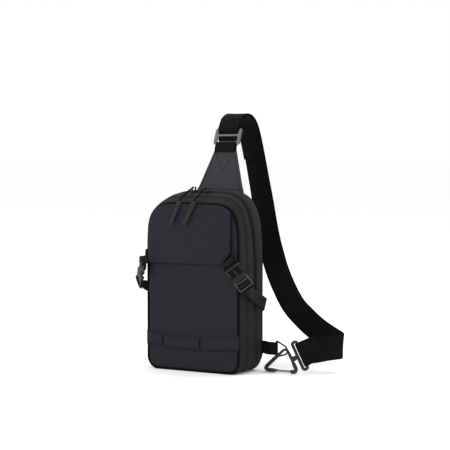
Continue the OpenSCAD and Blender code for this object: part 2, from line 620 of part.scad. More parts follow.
// The sewn end: the webbing goes round the strap ring's far bar and back over itself
strap_end = [for (p = [[9, 5.8], [0.6, 3.4], [-2.4, 2.4], [-3.4, 0], [-2.4, -2.4], [0.6, -3.4],
    [7, -1.2], [18, 7.2], [26, 15.4]])
    let(c = ring_point(p[0], p[1])) [c[0], c[1], c[2], -leg_dir[0], 0, -leg_dir[1]]];
module shoulder_strap() {
    color(webbing) ribbon([for (s = catmull(concat(strap_start, strap_route, strap_end), 2))
        concat(s, [strap_w])], strap_t);
}
module strap_ring() {
    corners = [for (c = [[-22.5, ring_near], [22.5, ring_near], [22.5, ring_far], [-22.5, ring_far]])
        let(p = swivel_at + leg_dir * c[0] + swivel_dir * c[1]) [p[0], hook_y, p[1], 4]];
    color(metal) {
        loop_tube(rounded_loop(corners, 4), [0, 1, 0], 2.1, 8);
        difference() {
            along_swivel() translate([0, 0, boss[1] + 0.4]) cylinder(r = 3.6, h = 4);
            along_swivel() translate([0, 0, 4]) cylinder(r = post_r + 0.06, h = 5.6);
        }
    }
}

front_gusset();
rear_gusset();
lower_gusset();
bottom_panel();
back_panel();
front_wall();
front_pocket();
front_piping();
rear_piping();
back_pads();
stiffener_board();
inner_pocket();
pocket_binding();
utility_band();
band_bartacks();
zip_lip();
zip_coil();
left_slider();
right_slider();
left_pull_cord();
right_pull_cord();
left_pull_tab();
right_pull_tab();
flap_seam();
flap();
left_flap_loop();
right_flap_loop();
left_buckle_socket();
right_buckle_socket();
left_buckle_plug();
right_buckle_plug();
left_upper_prong();
left_lower_prong();
right_upper_prong();
right_lower_prong();
left_side_strap();
right_side_strap();
left_strap_tail();
right_strap_tail();
yoke();
yoke_loop();
slider_buckle();
shoulder_strap();
shoulder_strap_tail();
anchor_tab();
triangle_ring();
hook_body();
hook_gate();
gate_pin();
swivel_post();
strap_ring();
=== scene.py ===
import math

import bmesh
import bpy
import numpy as np
from mathutils import Matrix, Vector, noise


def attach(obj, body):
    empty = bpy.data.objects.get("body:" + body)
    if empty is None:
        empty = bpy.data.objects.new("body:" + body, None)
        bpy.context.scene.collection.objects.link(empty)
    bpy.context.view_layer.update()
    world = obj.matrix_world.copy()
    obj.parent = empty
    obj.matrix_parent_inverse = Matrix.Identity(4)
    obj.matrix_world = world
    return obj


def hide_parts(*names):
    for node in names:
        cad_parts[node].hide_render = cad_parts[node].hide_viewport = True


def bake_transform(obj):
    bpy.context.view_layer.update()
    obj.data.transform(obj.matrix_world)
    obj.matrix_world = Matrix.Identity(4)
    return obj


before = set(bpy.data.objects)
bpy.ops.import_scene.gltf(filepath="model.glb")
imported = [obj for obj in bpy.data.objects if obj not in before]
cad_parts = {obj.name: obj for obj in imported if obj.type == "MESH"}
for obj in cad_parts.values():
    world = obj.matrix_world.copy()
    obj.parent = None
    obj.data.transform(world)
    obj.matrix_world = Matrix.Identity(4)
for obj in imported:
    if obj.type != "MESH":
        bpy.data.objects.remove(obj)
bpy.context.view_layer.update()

# Lengths in this script are millimetres, like the part's source, and meshes are made in metres.
MM = 0.001


def add_object(name, data):
    obj = bpy.data.objects.new(name, data)
    bpy.context.scene.collection.objects.link(obj)
    return obj


# ---------- camera and light ----------

CAMERA_TURN, CAMERA_RISE = math.radians(30.6), math.radians(2.89)
CAMERA_DISTANCE, CAMERA_LENS = 2.32, 119.8
CAMERA_AIM = Vector((0.0365, 0.0, 0.2266))


def aim(obj, at):
    obj.rotation_euler = (at - obj.location).to_track_quat("-Z", "Y").to_euler()


def add_camera():
    camera = add_object("camera", bpy.data.cameras.new("camera"))
    camera.data.lens = CAMERA_LENS
    camera.data.sensor_width = 36
    camera.data.clip_end = 100
    flat = math.cos(CAMERA_RISE)
    way = Vector((math.sin(CAMERA_TURN) * flat, -math.cos(CAMERA_TURN) * flat, math.sin(CAMERA_RISE)))
    camera.location = CAMERA_AIM + way * CAMERA_DISTANCE
    aim(camera, CAMERA_AIM)
    bpy.context.scene.camera = camera


def add_softbox(name, location, size, power):
    light = bpy.data.lights.new(name, "AREA")
    light.shape = "DISK"
    light.size = size
    light.energy = power
    obj = add_object(name, light)
    obj.location = location
    aim(obj, CAMERA_AIM)


def add_world():
    world = bpy.data.worlds.new("studio")
    world.use_nodes = True
    background = world.node_tree.nodes["Background"]
    background.inputs["Color"].default_value = (1, 1, 1, 1)
    background.inputs["Strength"].default_value = 1.0
    bpy.context.scene.world = world
    bpy.context.scene.view_settings.view_transform = "Standard"


add_camera()
add_world()
add_softbox("key", Vector((-1.3, -2.0, 1.9)), 1.2, 34)
add_softbox("top", Vector((0.3, 0.9, 2.2)), 1.4, 16)
add_softbox("side", Vector((2.4, -0.2, 0.9)), 0.8, 5)

# ---------- materials ----------

# The two colour inputs of a Mix node.
MIX_A, MIX_B = 6, 7


class Shader:
    """A Principled material and short ways to add nodes to it."""

    def __init__(self, name, color, roughness, metallic=0.0, sheen=0.0, specular=0.5):
        self.material = bpy.data.materials.new(name)
        self.material.use_nodes = True
        self.tree = self.material.node_tree
        self.bsdf = self.tree.nodes["Principled BSDF"]
        self.color = color
        values = {"Base Color": (*color, 1), "Roughness": roughness, "Metallic": metallic,
                  "Sheen Weight": sheen, "Sheen Roughness": 0.5, "Specular IOR Level": specular}
        for key, value in values.items():
            self.bsdf.inputs[key].default_value = value

    def node(self, kind, inputs=(), **settings):
        made = self.tree.nodes.new("ShaderNode" + kind)
        for key, value in settings.items():
            setattr(made, key, value)
        for key, value in dict(inputs).items():
            if isinstance(value, bpy.types.NodeSocket):
                self.tree.links.new(value, made.inputs[key])
            else:
                made.inputs[key].default_value = value
        return made

    def math(self, operation, a, b=0.0):
        return self.node("Math", {0: a, 1: b}, operation=operation).outputs[0]

    def blend(self, a, b, share):
        return self.math("ADD", self.math("MULTIPLY", a, share), self.math("MULTIPLY", b, 1 - share))

    def object_place(self):
        return self.node("TexCoord").outputs["Object"]

    def wave(self, vector, pitch_mm, direction, distortion=0.0):
        scale = 2 * math.pi / 20 / (pitch_mm * MM)
        made = self.node("TexWave", {"Vector": vector, "Scale": scale, "Distortion": distortion},
                         bands_direction=direction)
        return made.outputs["Fac"]

    def noise(self, vector, size_mm, detail=2.0):
        made = self.node("TexNoise", {"Vector": vector, "Scale": 1 / (size_mm * MM), "Detail": detail})
        return made.outputs["Fac"]

    def ramp(self, value, low, high):
        made = self.node("MapRange", {"Value": value, "To Min": low, "To Max": high})
        return made.outputs["Result"]

    def tint(self, value, dark, light):
        """Base colour between dark and light times the material's own colour, by value."""
        made = self.node("Mix", {"Factor": value}, data_type="RGBA")
        for end, share in ((MIX_A, dark), (MIX_B, light)):
            made.inputs[end].default_value = (*(c * share for c in self.color), 1)
        self.tree.links.new(made.outputs[2], self.bsdf.inputs["Base Color"])

    def roughness(self, value, low, high):
        self.tree.links.new(self.ramp(value, low, high), self.bsdf.inputs["Roughness"])

    def bump(self, height, depth_mm, strength=1.0):
        made = self.node("Bump", {"Height": height, "Distance": depth_mm * MM, "Strength": strength})
        self.tree.links.new(made.outputs["Normal"], self.bsdf.inputs["Normal"])


def woven(name, color, pitch=0.9, depth=0.10, roughness=0.8, sheen=0.15, specular=0.3, mottle=0.12):
    """Plain-woven cloth: threads along all three axes, so that every face shows two of them."""
    s = Shader(name, color, roughness, sheen=sheen, specular=specular)
    at = s.object_place()
    threads = s.math("ADD", s.wave(at, pitch, "X"), s.wave(at, pitch, "Z"))
    threads = s.math("ADD", threads, s.wave(at, pitch, "Y"))
    patches = s.noise(at, 30, 3.0)
    fuzz = s.noise(at, 1.6, 2.0)
    s.tint(s.blend(patches, fuzz, 0.6), 1 - mottle, 1 + mottle)
    s.roughness(fuzz, roughness - 0.08, roughness + 0.08)
    s.bump(s.math("ADD", threads, fuzz), depth)
    return s.material


def ribbed(name, color, pitch=1.7, half_width=19.0, roughness=0.6, sheen=0.1, specular=0.4):
    """Webbing: ribs across its length, a woven grain, and a plain selvedge at each edge."""
    s = Shader(name, color, roughness, sheen=sheen, specular=specular)
    at = s.node("UVMap", uv_map="Weave").outputs["UV"]
    place = s.node("SeparateXYZ", {0: at})
    ribs = s.wave(at, pitch, "Y", distortion=0.4)
    grain = s.wave(at, pitch * 0.5, "DIAGONAL")
    from_middle = s.math("ABSOLUTE", place.outputs["X"])
    selvedge = s.math("GREATER_THAN", from_middle, (half_width - 2.2) * MM)
    face = s.blend(ribs, grain, 0.7)
    height = s.math("MULTIPLY", face, s.math("SUBTRACT", 1.0, s.math("MULTIPLY", selvedge, 0.7)))
    patches = s.noise(at, 14, 2.0)
    s.tint(s.blend(height, patches, 0.5), 0.7, 1.35)
    s.roughness(height, roughness + 0.1, roughness - 0.1)
    s.bump(height, 0.25)
    return s.material


def moulded(name, color, roughness=0.35, grain=0.02, specular=0.5):
    """Moulded plastic or rubber with a fine eroded grain."""
    s = Shader(name, color, roughness, specular=specular)
    at = s.object_place()
    fine = s.noise(at, 0.5, 2.0)
    broad = s.noise(at, 9, 2.0)
    s.tint(broad, 0.85, 1.15)
    s.roughness(s.blend(fine, broad, 0.5), roughness - 0.1, roughness + 0.12)
    s.bump(fine, grain)
    return s.material


def plated(name, color, roughness=0.28, metallic=0.85):
    """Plated or painted zinc alloy: slight unevenness and rubbed patches."""
    s = Shader(name, color, roughness, metallic=metallic, specular=0.5)
    at = s.object_place()
    wear_and_highlight = s.noise(at, 6, 4.0)
    fine = s.noise(at, 0.7, 2.0)
    s.tint(wear_and_highlight, 0.8, 1.35)
    s.roughness(wear_and_highlight, roughness - 0.08, roughness + 0.14)
    s.bump(fine, 0.008)
    return s.material


def spacer_mesh(name, color):
    """Open knitted mesh over foam: a lattice of holes darkened with painted shade."""
    s = Shader(name, color, 0.85, sheen=0.3, specular=0.2)
    at = s.object_place()
    cells = s.node("TexVoronoi", {"Vector": at, "Scale": 1 / (2.6 * MM), "Randomness": 0.15})
    hole = s.node("MapRange", {"Value": cells.outputs["Distance"], "From Min": 0.2, "From Max": 0.5})
    # The holes' colour drops to a quarter of the mesh's: painted shade in the open cells.
    s.tint(hole.outputs["Result"], 0.25, 1.2)
    s.bump(hole.outputs["Result"], 0.5)
    return s.material


SHELL = woven("shell_cloth", (0.0108, 0.0104, 0.0140), sheen=0.02, specular=0.18)
# The same body cloth made darker for the gussets: painted shade of the bag's sides.
SHADED_SIDE = woven("side_cloth_painted_shade", (0.0085, 0.0082, 0.0112), sheen=0.02, specular=0.14)
YOKE = woven("yoke_cloth", (0.026, 0.0255, 0.0305), sheen=0.05, specular=0.25)
BACK = woven("back_cloth", (0.009, 0.009, 0.011), pitch=1.2, sheen=0.03, specular=0.15)
LINING = woven("lining_cloth", (0.09, 0.09, 0.10), pitch=0.7, roughness=0.6)
# Near-black tape and piping. On the piping the darkness is partly painted shade of the seam's groove.
BINDING_AND_SEAM_SHADE = woven("binding_and_seam_shade_cloth", (0.0025, 0.0025, 0.003), pitch=0.8, sheen=0.0, specular=0.06)
MESH = spacer_mesh("spacer_mesh", (0.012, 0.012, 0.014))
WEBBING = ribbed("strap_webbing", (0.0022, 0.0022, 0.0028), sheen=0.0, specular=0.06)
NARROW_WEBBING = ribbed("side_webbing", (0.0045, 0.0045, 0.0055), pitch=1.4, half_width=9.75, sheen=0.0,
                        specular=0.12)
THREAD = moulded("thread", (0.0015, 0.0015, 0.002), roughness=0.7, grain=0.01, specular=0.05)
PLASTIC = moulded("buckle_plastic", (0.0018, 0.0018, 0.0022), roughness=0.3, specular=0.08)
# A lighter copy of the buckle plastic for the bevels: a painted highlight along the buckles' edges.
PLASTIC_HIGHLIGHT = moulded("buckle_painted_highlight", (0.055, 0.055, 0.060), roughness=0.25, specular=0.7)
TAB_RUBBER = moulded("pull_rubber", (0.008, 0.008, 0.009), roughness=0.5, specular=0.2)
# A lighter copy of the pull rubber for the bevels: a painted highlight along the tabs' edges.
TAB_HIGHLIGHT = moulded("pull_painted_highlight", (0.028, 0.028, 0.031), roughness=0.5, specular=0.3)
ZIP = moulded("zip_plastic", (0.004, 0.004, 0.005), roughness=0.45, specular=0.15)
BOARD = moulded("board_plastic", (0.10, 0.10, 0.10), roughness=0.6)
CORD = woven("pull_cord", (0.003, 0.003, 0.0035), pitch=0.7, depth=0.15, sheen=0.0, specular=0.1)
METAL = plated("gunmetal", (0.036, 0.036, 0.040), roughness=0.32)
# A lighter copy of the gunmetal for the bevels: a painted highlight along the slider buckle's edges.
METAL_HIGHLIGHT = plated("gunmetal_painted_highlight", (0.11, 0.11, 0.12), roughness=0.3)
SLIDER_METAL = plated("slider_paint", (0.010, 0.010, 0.011), roughness=0.35, metallic=0.5)
STEEL = plated("gate_steel", (0.16, 0.16, 0.17), roughness=0.3)

# ---------- floor ----------

floor_shader = Shader("floor_paint", (0.985, 0.985, 0.985), 0.9, specular=0.0)
floor_grain = floor_shader.noise(floor_shader.object_place(), 400, 2.0)
floor_shader.tint(floor_grain, 0.995, 1.005)


def add_floor():
    bm = bmesh.new()
    bmesh.ops.create_circle(bm, cap_ends=True, radius=40, segments=96)
    mesh = bpy.data.meshes.new("floor")
    bm.to_mesh(mesh)
    bm.free()
    mesh.materials.append(floor_shader.material)
    add_object("floor", mesh)


add_floor()

# ---------- curves and grids ----------


def unit(v):
    v = np.asarray(v, float)
    return v / np.linalg.norm(v, axis=-1, keepdims=True)


def run(points):
    """Distance along a polyline, at each of its points."""
    steps = np.linalg.norm(np.diff(points, axis=0), axis=1)
    return np.concatenate([[0], np.cumsum(steps)])


def resample(points, count, last=True):
    """count equal steps along a polyline, with or without its last point."""
    points = np.asarray(points, float)
    along = run(points)
    at = np.linspace(0, along[-1], count + 1)
    at = at if last else at[:-1]
    return np.column_stack([np.interp(at, along, points[:, i]) for i in range(points.shape[1])])


def catmull(stations, steps):
    p = np.asarray(stations, float)
    out = []
    for i in range(len(p) - 1):
        a, b, c, d = p[max(i - 1, 0)], p[i], p[i + 1], p[min(i + 2, len(p) - 1)]
        for s in range(steps):
            t = s / steps
            out.append(0.5 * (2 * b + (c - a) * t + (2 * a - 5 * b + 4 * c - d) * t * t
                              + (3 * b - a - 3 * c + d) * t ** 3))
    return np.array(out + [p[-1]])


def spread(width, roll, count):
    """Places from 0 to 1 across a strip, close together where its edges roll over."""
    edge = roll * np.array([0, 0.04, 0.16, 0.4, 0.7, 1.0]) / width
    return np.concatenate([edge, np.linspace(edge[-1], 1 - edge[-1], count)[1:-1], 1 - edge[::-1]])


def normals(grid, outward):
    n = unit(np.cross(np.gradient(grid, axis=0), np.gradient(grid, axis=1)))
    return n if np.sum(n * outward) > 0 else -n


def edge_run(grid, axis):
    """Distance from the nearer end of each line of the grid, and place from 0 to 1 along it."""
    steps = np.linalg.norm(np.diff(grid, axis=axis), axis=2)
    along = np.cumsum(steps, axis=axis)
    along = np.concatenate([np.zeros_like(np.take(along, [0], axis)), along], axis=axis)
    total = np.take(along, [-1], axis)
    return np.minimum(along, total - along), along / total


def wobble(grid, size, amount, seed=0.0):
    """A smooth unevenness that depends only on the place."""
    flat = grid.reshape(-1, 3) / size
    values = [noise.noise(Vector((x + seed, y, z))) for x, y, z in flat]
    return amount * np.array(values).reshape(grid.shape[:2])


# ---------- making objects ----------


def new_object(name, verts, faces, material, uv=None):
    mesh = bpy.data.meshes.new(name)
    mesh.from_pydata((np.asarray(verts, float) * MM).tolist(), [], faces)
    if uv is not None:
        layer = mesh.uv_layers.new(name="Weave")
        loops = np.zeros(len(mesh.loops), int)
        mesh.loops.foreach_get("vertex_index", loops)
        layer.data.foreach_set("uv", (np.asarray(uv, float) * MM)[loops].ravel())
    mesh.materials.append(material)
    bm = bmesh.new()
    bm.from_mesh(mesh)
    bmesh.ops.recalc_face_normals(bm, faces=bm.faces)
    bm.to_mesh(mesh)
    bm.free()
    mesh.polygons.foreach_set("use_smooth", [True] * len(mesh.polygons))
    return add_object(name, mesh)


def place(obj, body, slot, *nodes):
    """Puts a piece on its body and hides the CAD nodes that it stands for; slot is not used."""
    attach(obj, body)
    if nodes:
        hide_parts(*nodes)
    return obj


def slab(name, outer, inner, material, uv=None):
    """A closed sheet between two grids of points."""
    nj, nk = outer.shape[:2]
    at = np.arange(nj * nk).reshape(nj, nk)
    low = at + nj * nk
    faces = []
    for grid, flip in ((at, False), (low, True)):
        a, b, c, d = grid[:-1, :-1], grid[:-1, 1:], grid[1:, 1:], grid[1:, :-1]
        quads = np.stack([a, b, c, d] if not flip else [a, d, c, b], axis=-1).reshape(-1, 4)
        faces += quads.tolist()
    for k in (0, nk - 1):
        faces += np.stack([at[:-1, k], at[1:, k], low[1:, k], low[:-1, k]], axis=-1).tolist()
    for j in (0, nj - 1):
        faces += np.stack([at[j, :-1], at[j, 1:], low[j, 1:], low[j, :-1]], axis=-1).tolist()
    if uv is None:
        across = np.broadcast_to(np.linspace(0, 1, nk), (nj, nk))
        uv = np.stack([across, across], axis=-1)
    both = np.concatenate([uv.reshape(-1, 2), uv.reshape(-1, 2)])
    return new_object(name, np.concatenate([outer.reshape(-1, 3), inner.reshape(-1, 3)]), faces,
                      material, both)


def pillow(name, grid, outward, material, thick=2.2, bulge=0.8, roll=1.2, ends=False, extra=0.0,
           rolls=None):
    """A panel of cloth over foam: it stands proud in the middle and rolls under at its seams.
    rolls gives how much of the roll each of the two long edges has, from 0 to 1, along the panel."""
    n = normals(grid, outward)
    near, share = edge_run(grid, 1)
    lift = bulge * (1 - np.abs(2 * share - 1) ** 3)
    if ends:
        near_end, share_end = edge_run(grid, 0)
        near = np.minimum(near, near_end)
        lift = lift * (1 - np.abs(2 * share_end - 1) ** 6)
    drop = roll * (1 - np.sqrt(1 - (1 - np.clip(near / roll, 0, 1)) ** 2))
    if rolls is not None:
        drop = drop * np.where(share < 0.5, rolls[0][:, None], rolls[1][:, None])
    outer = grid + n * (lift - drop + extra)[..., None]
    surfaces[name] = (outer, n)
    return slab(name, outer, grid - n * thick, material)


def ribbon(name, stations, thick, material, steps=6, across=9, square=True):
    """Webbing along stations [x, y, z, wx, wy, wz, width], w being the direction of its width.
    A square one keeps w at right angles to its path."""
    s = catmull(stations, steps)
    c, w0, width = s[:, :3], s[:, 3:6], s[:, 6:7]
    t = unit(np.gradient(c, axis=0))
    w = unit(w0 - t * np.sum(w0 * t, axis=1, keepdims=True) * square)
    n = unit(np.cross(t, w))
    side = np.sin(np.linspace(-1, 1, across) * math.pi / 2)
    half = thick / 2 * np.sqrt(np.clip(1 - np.abs(side) ** 14, 0.08, 1))
    middle = c[:, None] + w[:, None] * (width * side / 2)[..., None]
    uv = np.stack([width * side / 2, np.broadcast_to(run(c)[:, None], (len(c), across))], axis=-1)
    lift = n[:, None] * half[None, :, None]
    return slab(name, middle + lift, middle - lift, material, uv)


def rings_to_object(name, rings, material, closed):
    count, sides = rings.shape[:2]
    at = np.arange(count * sides).reshape(count, sides)
    ahead = np.roll(at, -1, axis=0) if closed else at[1:]
    here = at if closed else at[:-1]
    faces = np.stack([here, np.roll(here, -1, 1), np.roll(ahead, -1, 1), ahead], axis=-1).reshape(-1,
                                                                                                  4).tolist()
    if not closed:
        faces += [at[0].tolist(), at[-1].tolist()]
    return new_object(name, rings.reshape(-1, 3), faces, material)


def tube_rings(path, radius, up, sides, closed=False):
    path = np.asarray(path, float)
    ahead = np.roll(path, -1, 0) - np.roll(path, 1, 0) if closed else np.gradient(path, axis=0)
    t = unit(ahead)
    side = unit(np.cross(np.broadcast_to(np.asarray(up, float), t.shape), t))
    top = np.cross(t, side)
    radius = np.broadcast_to(radius, (len(path),))
    a = np.linspace(0, 2 * math.pi, sides, endpoint=False)
    ring = np.cos(a)[:, None] * top[:, None] + np.sin(a)[:, None] * side[:, None]
    return path[:, None] + radius[:, None, None] * ring


def tube(name, path, radius, up, material, sides=14, closed=False):
    """A round bar. An open one has domed ends."""
    path = np.asarray(path, float)
    if not closed:
        r = float(np.min(radius))
        first, last = unit(path[0] - path[1]), unit(path[-1] - path[-2])
        dome = [(math.sin(a), math.cos(a)) for a in np.radians([85, 60, 30])]
        head = [path[0] + first * r * out for out, _ in dome]
        tail = [path[-1] + last * r * out for out, _ in reversed(dome)]
        radii = np.broadcast_to(radius, (len(path),))
        radius = np.concatenate([[radii[0] * k for _, k in dome], radii,
                                 [radii[-1] * k for _, k in reversed(dome)]])
        path = np.concatenate([head, path, tail])
    return rings_to_object(name, tube_rings(path, radius, up, sides, closed), material, closed)


def join(name, objects):
    """Several meshes as one piece."""
    bm = bmesh.new()
    slots = []
    for obj in objects:
        base = len(slots)
        slots += list(obj.data.materials)
        start = len(bm.faces)
        bm.from_mesh(obj.data)
        bm.faces.ensure_lookup_table()
        for face in bm.faces[start:]:
            face.material_index += base
    mesh = bpy.data.meshes.new(name)
    bm.to_mesh(mesh)
    bm.free()
    unique = list(dict.fromkeys(slots))
    index = [unique.index(m) for m in slots]
    for material in unique:
        mesh.materials.append(material)
    for polygon in mesh.polygons:
        polygon.material_index = index[polygon.material_index]
    for obj in objects:
        bpy.data.objects.remove(obj)
    return add_object(name, mesh)


def rounded(points, radii, steps=5):
    """A closed outline whose corners are rounded."""
    p = np.asarray(points, float)
    radii = np.broadcast_to(radii, (len(p),))
    out = []
    for i in range(len(p)):
        a = p[i] + unit(p[i - 1] - p[i]) * radii[i]
        b = p[i] + unit(p[(i + 1) % len(p)] - p[i]) * radii[i]
        for t in np.linspace(0, 1, steps + 1):
            out.append(a * (1 - t) ** 2 + p[i] * 2 * t * (1 - t) + b * t * t)
    return np.array(out)


def plate(name, loops, low, high, bevel, material, matrix, edge=None):
    """A flat part with rounded edges from outlines [[x, y], ...], the first round the others.
    edge is the finish of the bevels, a lighter copy of the faces' material: a painted highlight."""
    curve = bpy.data.curves.new(name, "CURVE")
    curve.dimensions = "2D"
    curve.fill_mode = "BOTH"
    curve.extrude = ((high - low) / 2 - bevel) * MM
    curve.bevel_depth = bevel * MM
    curve.bevel_resolution = 2
    curve.offset = -bevel * MM
    for loop in loops:
        spline = curve.splines.new("POLY")
        spline.points.add(len(loop) - 1)
        spline.points.foreach_set("co", np.column_stack([np.asarray(loop, float) * MM,
                                                         np.zeros(len(loop)),
                                                         np.ones(len(loop))]).ravel())
        spline.use_cyclic_u = True
    holder = add_object(name, curve)
    bpy.context.view_layer.update()
    mesh = bpy.data.meshes.new_from_object(holder.evaluated_get(bpy.context.evaluated_depsgraph_get()))
    bpy.data.objects.remove(holder)
    bm = bmesh.new()
    bm.from_mesh(mesh)
    bmesh.ops.remove_doubles(bm, verts=bm.verts, dist=1e-6)
    bmesh.ops.translate(bm, verts=bm.verts, vec=(0, 0, (high + low) / 2 * MM))
    bm.faces.ensure_lookup_table()
    # Bevel faces, which get the edge material: a painted highlight.
    highlight_bevels = [0.15 < abs(face.normal.z) < 0.97 for face in bm.faces]
    bmesh.ops.transform(bm, verts=bm.verts, matrix=matrix)
    bmesh.ops.recalc_face_normals(bm, faces=bm.faces)
    bm.to_mesh(mesh)
    bm.free()
    mesh.name = name
    mesh.materials.clear()
    mesh.materials.append(material)
    mesh.materials.append(edge or material)
    # The bevels take the lighter edge material, a painted highlight; the faces keep their own.
    for polygon, wear_and_highlight in zip(mesh.polygons, highlight_bevels):
        polygon.material_index = int(wear_and_highlight)
        polygon.use_smooth = False
    return add_object(name, mesh)


# ---------- the body's shape, the same as in the part's source ----------

FRONT_Y, REAR_Y = -35.0, 35.0
SEAM_Y, REAR_SEAM_Y = -34.8, 31.4
CORNER_R, CROWN_Z, ZIP_END_Z = 20.0, 150.0, 95.0


def depth_share(y):
    return min(1.0, max(0.0, (y - FRONT_Y) / (REAR_Y - FRONT_Y)))


def half_width(y):
    return 83.5 + 1.5 * depth_share(y)


def top_z(y):
    return 261.5 + 18.5 * (1 - (1 - depth_share(y)) ** 2.2)


def floor_z(y):
    return 0.0 if y < 22 else 9 * ((y - 22) / 13) ** 2


def half_outline(y, inset):
    """Right half of the body's outline at a depth, [x, z], below and above the zip's end."""
    a = np.radians(np.linspace(-90, 0, 13))
    r, w = CORNER_R - inset, half_width(y)
    arc = np.column_stack([w - CORNER_R + r * np.cos(a), floor_z(y) + CORNER_R + r * np.sin(a)])
    power = 2 / (5.3 + (3.9 - 5.3) * depth_share(y))
    t = np.radians(np.linspace(0, 90, 400))
    crown = np.column_stack([(w - inset) * np.cos(t).clip(0) ** power,
                             CROWN_Z + (top_z(y) - CROWN_Z - inset) * np.sin(t) ** power])
    end = np.array([[w - inset, ZIP_END_Z]])
    return np.concatenate([arc, end]), np.concatenate([end, crown])


def flip(p):
    return p[::-1] * [-1, 1]


def outline(y, inset, part="all", count=300):
    lower, upper = half_outline(y, inset)
    path = {"right": lower, "left": flip(lower), "upper": np.concatenate([upper, flip(upper)[1:]]),
            "all": np.concatenate([lower, upper[1:], flip(upper)[1:], flip(lower)[1:]])}[part]
    return resample(path, count)


def smooth_step(x):
    x = np.clip(x, 0, 1)
    return x * x * (3 - 2 * x)


def lip_y(z):
    return -20 + 6 * (1 - smooth_step((z - CROWN_Z) / 120))


def zip_y(z):
    return 10 * (1 - smooth_step((z - CROWN_Z) / 120))


EDGES = {"seam": (SEAM_Y, lambda z: SEAM_Y + 0 * z), "lip": (-18.0, lip_y), "zip": (4.0, zip_y),
         "rear": (REAR_SEAM_Y, lambda z: REAR_SEAM_Y + 0 * z)}


def wall(edge0, gap0, edge1, gap1, part, count, shares, inset=0.0):
    """Grid of points on the body's wall between two of its seams."""
    (near0, y0), (near1, y1) = EDGES[edge0], EDGES[edge1]
    columns = []
    for s in shares:
        p = outline(near0 + (near1 - near0) * s, inset, part, count)
        y = (y0(p[:, 1]) + gap0) * (1 - s) + (y1(p[:, 1]) + gap1) * s
        columns.append(np.column_stack([p[:, 0], y, p[:, 1]]))
    return np.stack(columns, axis=1)


def outwards(grid):
    return (grid - [0, 0, 130]) * [1, 0, 1]


# Outer face and normals of a panel by its name, for the rows of stitches on it.
surfaces = {}


def cloth_wall(name, edge0, gap0, edge1, gap1, part, count, width, material, bulge, soft=(1.0, 1.0),
               roll=1.2, creases=0.35):
    """A panel of the body's wall.
    soft is how far each edge rolls in beside the zip; below the zip's ends the edges lie flush."""
    grid = wall(edge0, gap0, edge1, gap1, part, count, spread(width, roll, 11))
    beside_zip = smooth_step((grid[:, 5, 2] - ZIP_END_Z + 6) / 22)
    rolls = [max(0.12, k) * beside_zip + 0.12 * (1 - beside_zip) if edge != "seam" and edge != "rear"
             else k + 0 * beside_zip for k, edge in zip(soft, (edge0, edge1))]
    swell = (bulge * beside_zip + 0.15 * (1 - beside_zip))[:, None]
    return pillow(name, grid, outwards(grid), material, 2.2, swell, roll,
                  extra=wobble(grid, 26, creases), rolls=rolls)


def line_on(name, side, distance, skip=0):
    """Path and outward direction on a panel, at a distance from one of its two long edges."""
    outer, n = surfaces[name]
    path, away = [], []
    for row, up in zip(outer, n):
        row, up = (row, up) if side == 0 else (row[::-1], up[::-1])
        along = run(row)
        path.append([np.interp(distance, along, row[:, i]) for i in range(3)])
        away.append([np.interp(distance, along, up[:, i]) for i in range(3)])
    end = len(path) - skip
    return np.array(path[skip:end]), np.array(away[skip:end])


def coons(bottom, top, left, right, u, v):
    """Grid that fills four joined borders, [x, z]; bottom and top run rightwards, left and right upwards."""
    def at(path, t):
        path = np.asarray(path, float)
        along = run(path) / run(path)[-1]
        return np.column_stack([np.interp(t, along, path[:, i]) for i in (0, 1)])
    b, t, lf, rt = at(bottom, u), at(top, u), at(left, v), at(right, v)
    uu, vv = u[None, :, None], v[:, None, None]
    return ((1 - vv) * b[None] + vv * t[None] + (1 - uu) * lf[:, None] + uu * rt[:, None] - (1 - uu)
            * (1 - vv) * b[0] - uu * (1 - vv) * b[-1] - (1 - uu) * vv * t[0] - uu * vv * t[-1])


def borders(y, inset, top):
    """Borders of a panel inside the body's outline, up to the height top, or all of it if top is None."""
    lower, upper = half_outline(y, inset)
    split = 7
    side = np.concatenate([lower[split - 1:], upper[1:]])
    if top is None:
        turn = int(np.argmin(np.abs(np.degrees(np.arctan2(side[:, 1] - CROWN_Z, side[:, 0] - 20)) - 55)
                             + 1000 * (side[:, 1] < CROWN_Z + 20)))
        right, crest = side[:turn + 1], side[turn:]
        over = np.concatenate([crest * [-1, 1], crest[::-1]])
    else:
        cut = side[side[:, 1] < top]
        right = np.concatenate([cut, [[np.interp(top, side[:, 1], side[:, 0]), top]]])
        over = np.array([right[-1] * [-1, 1], right[-1]])
    base = lower[:split]
    bottom = np.concatenate([base[::-1] * [-1, 1], base])
    return bottom, over, right * [-1, 1], right


def flat_panel(name, y, thick, inset, top, material, bulge=0.6, roll=1.0, face=-1, depth=None,
               creases=0.3, size=230):
    """An upright cloth panel whose outer face is at y; face is -1 for the front and 1 for the back."""
    b, t, lf, rt = borders(y if depth is None else depth, inset, top)
    u, v = spread(160, roll, 40), spread(size, roll, 56)
    flat = coons(b, t, lf, rt, u, v)
    grid = np.stack([flat[..., 0], np.full(flat.shape[:2], float(y)), flat[..., 1]], axis=-1)
    return pillow(name, grid, [0, face, 0], material, thick, bulge, roll,
                  ends=True, extra=wobble(grid, 38, creases))


# ---------- body ----------

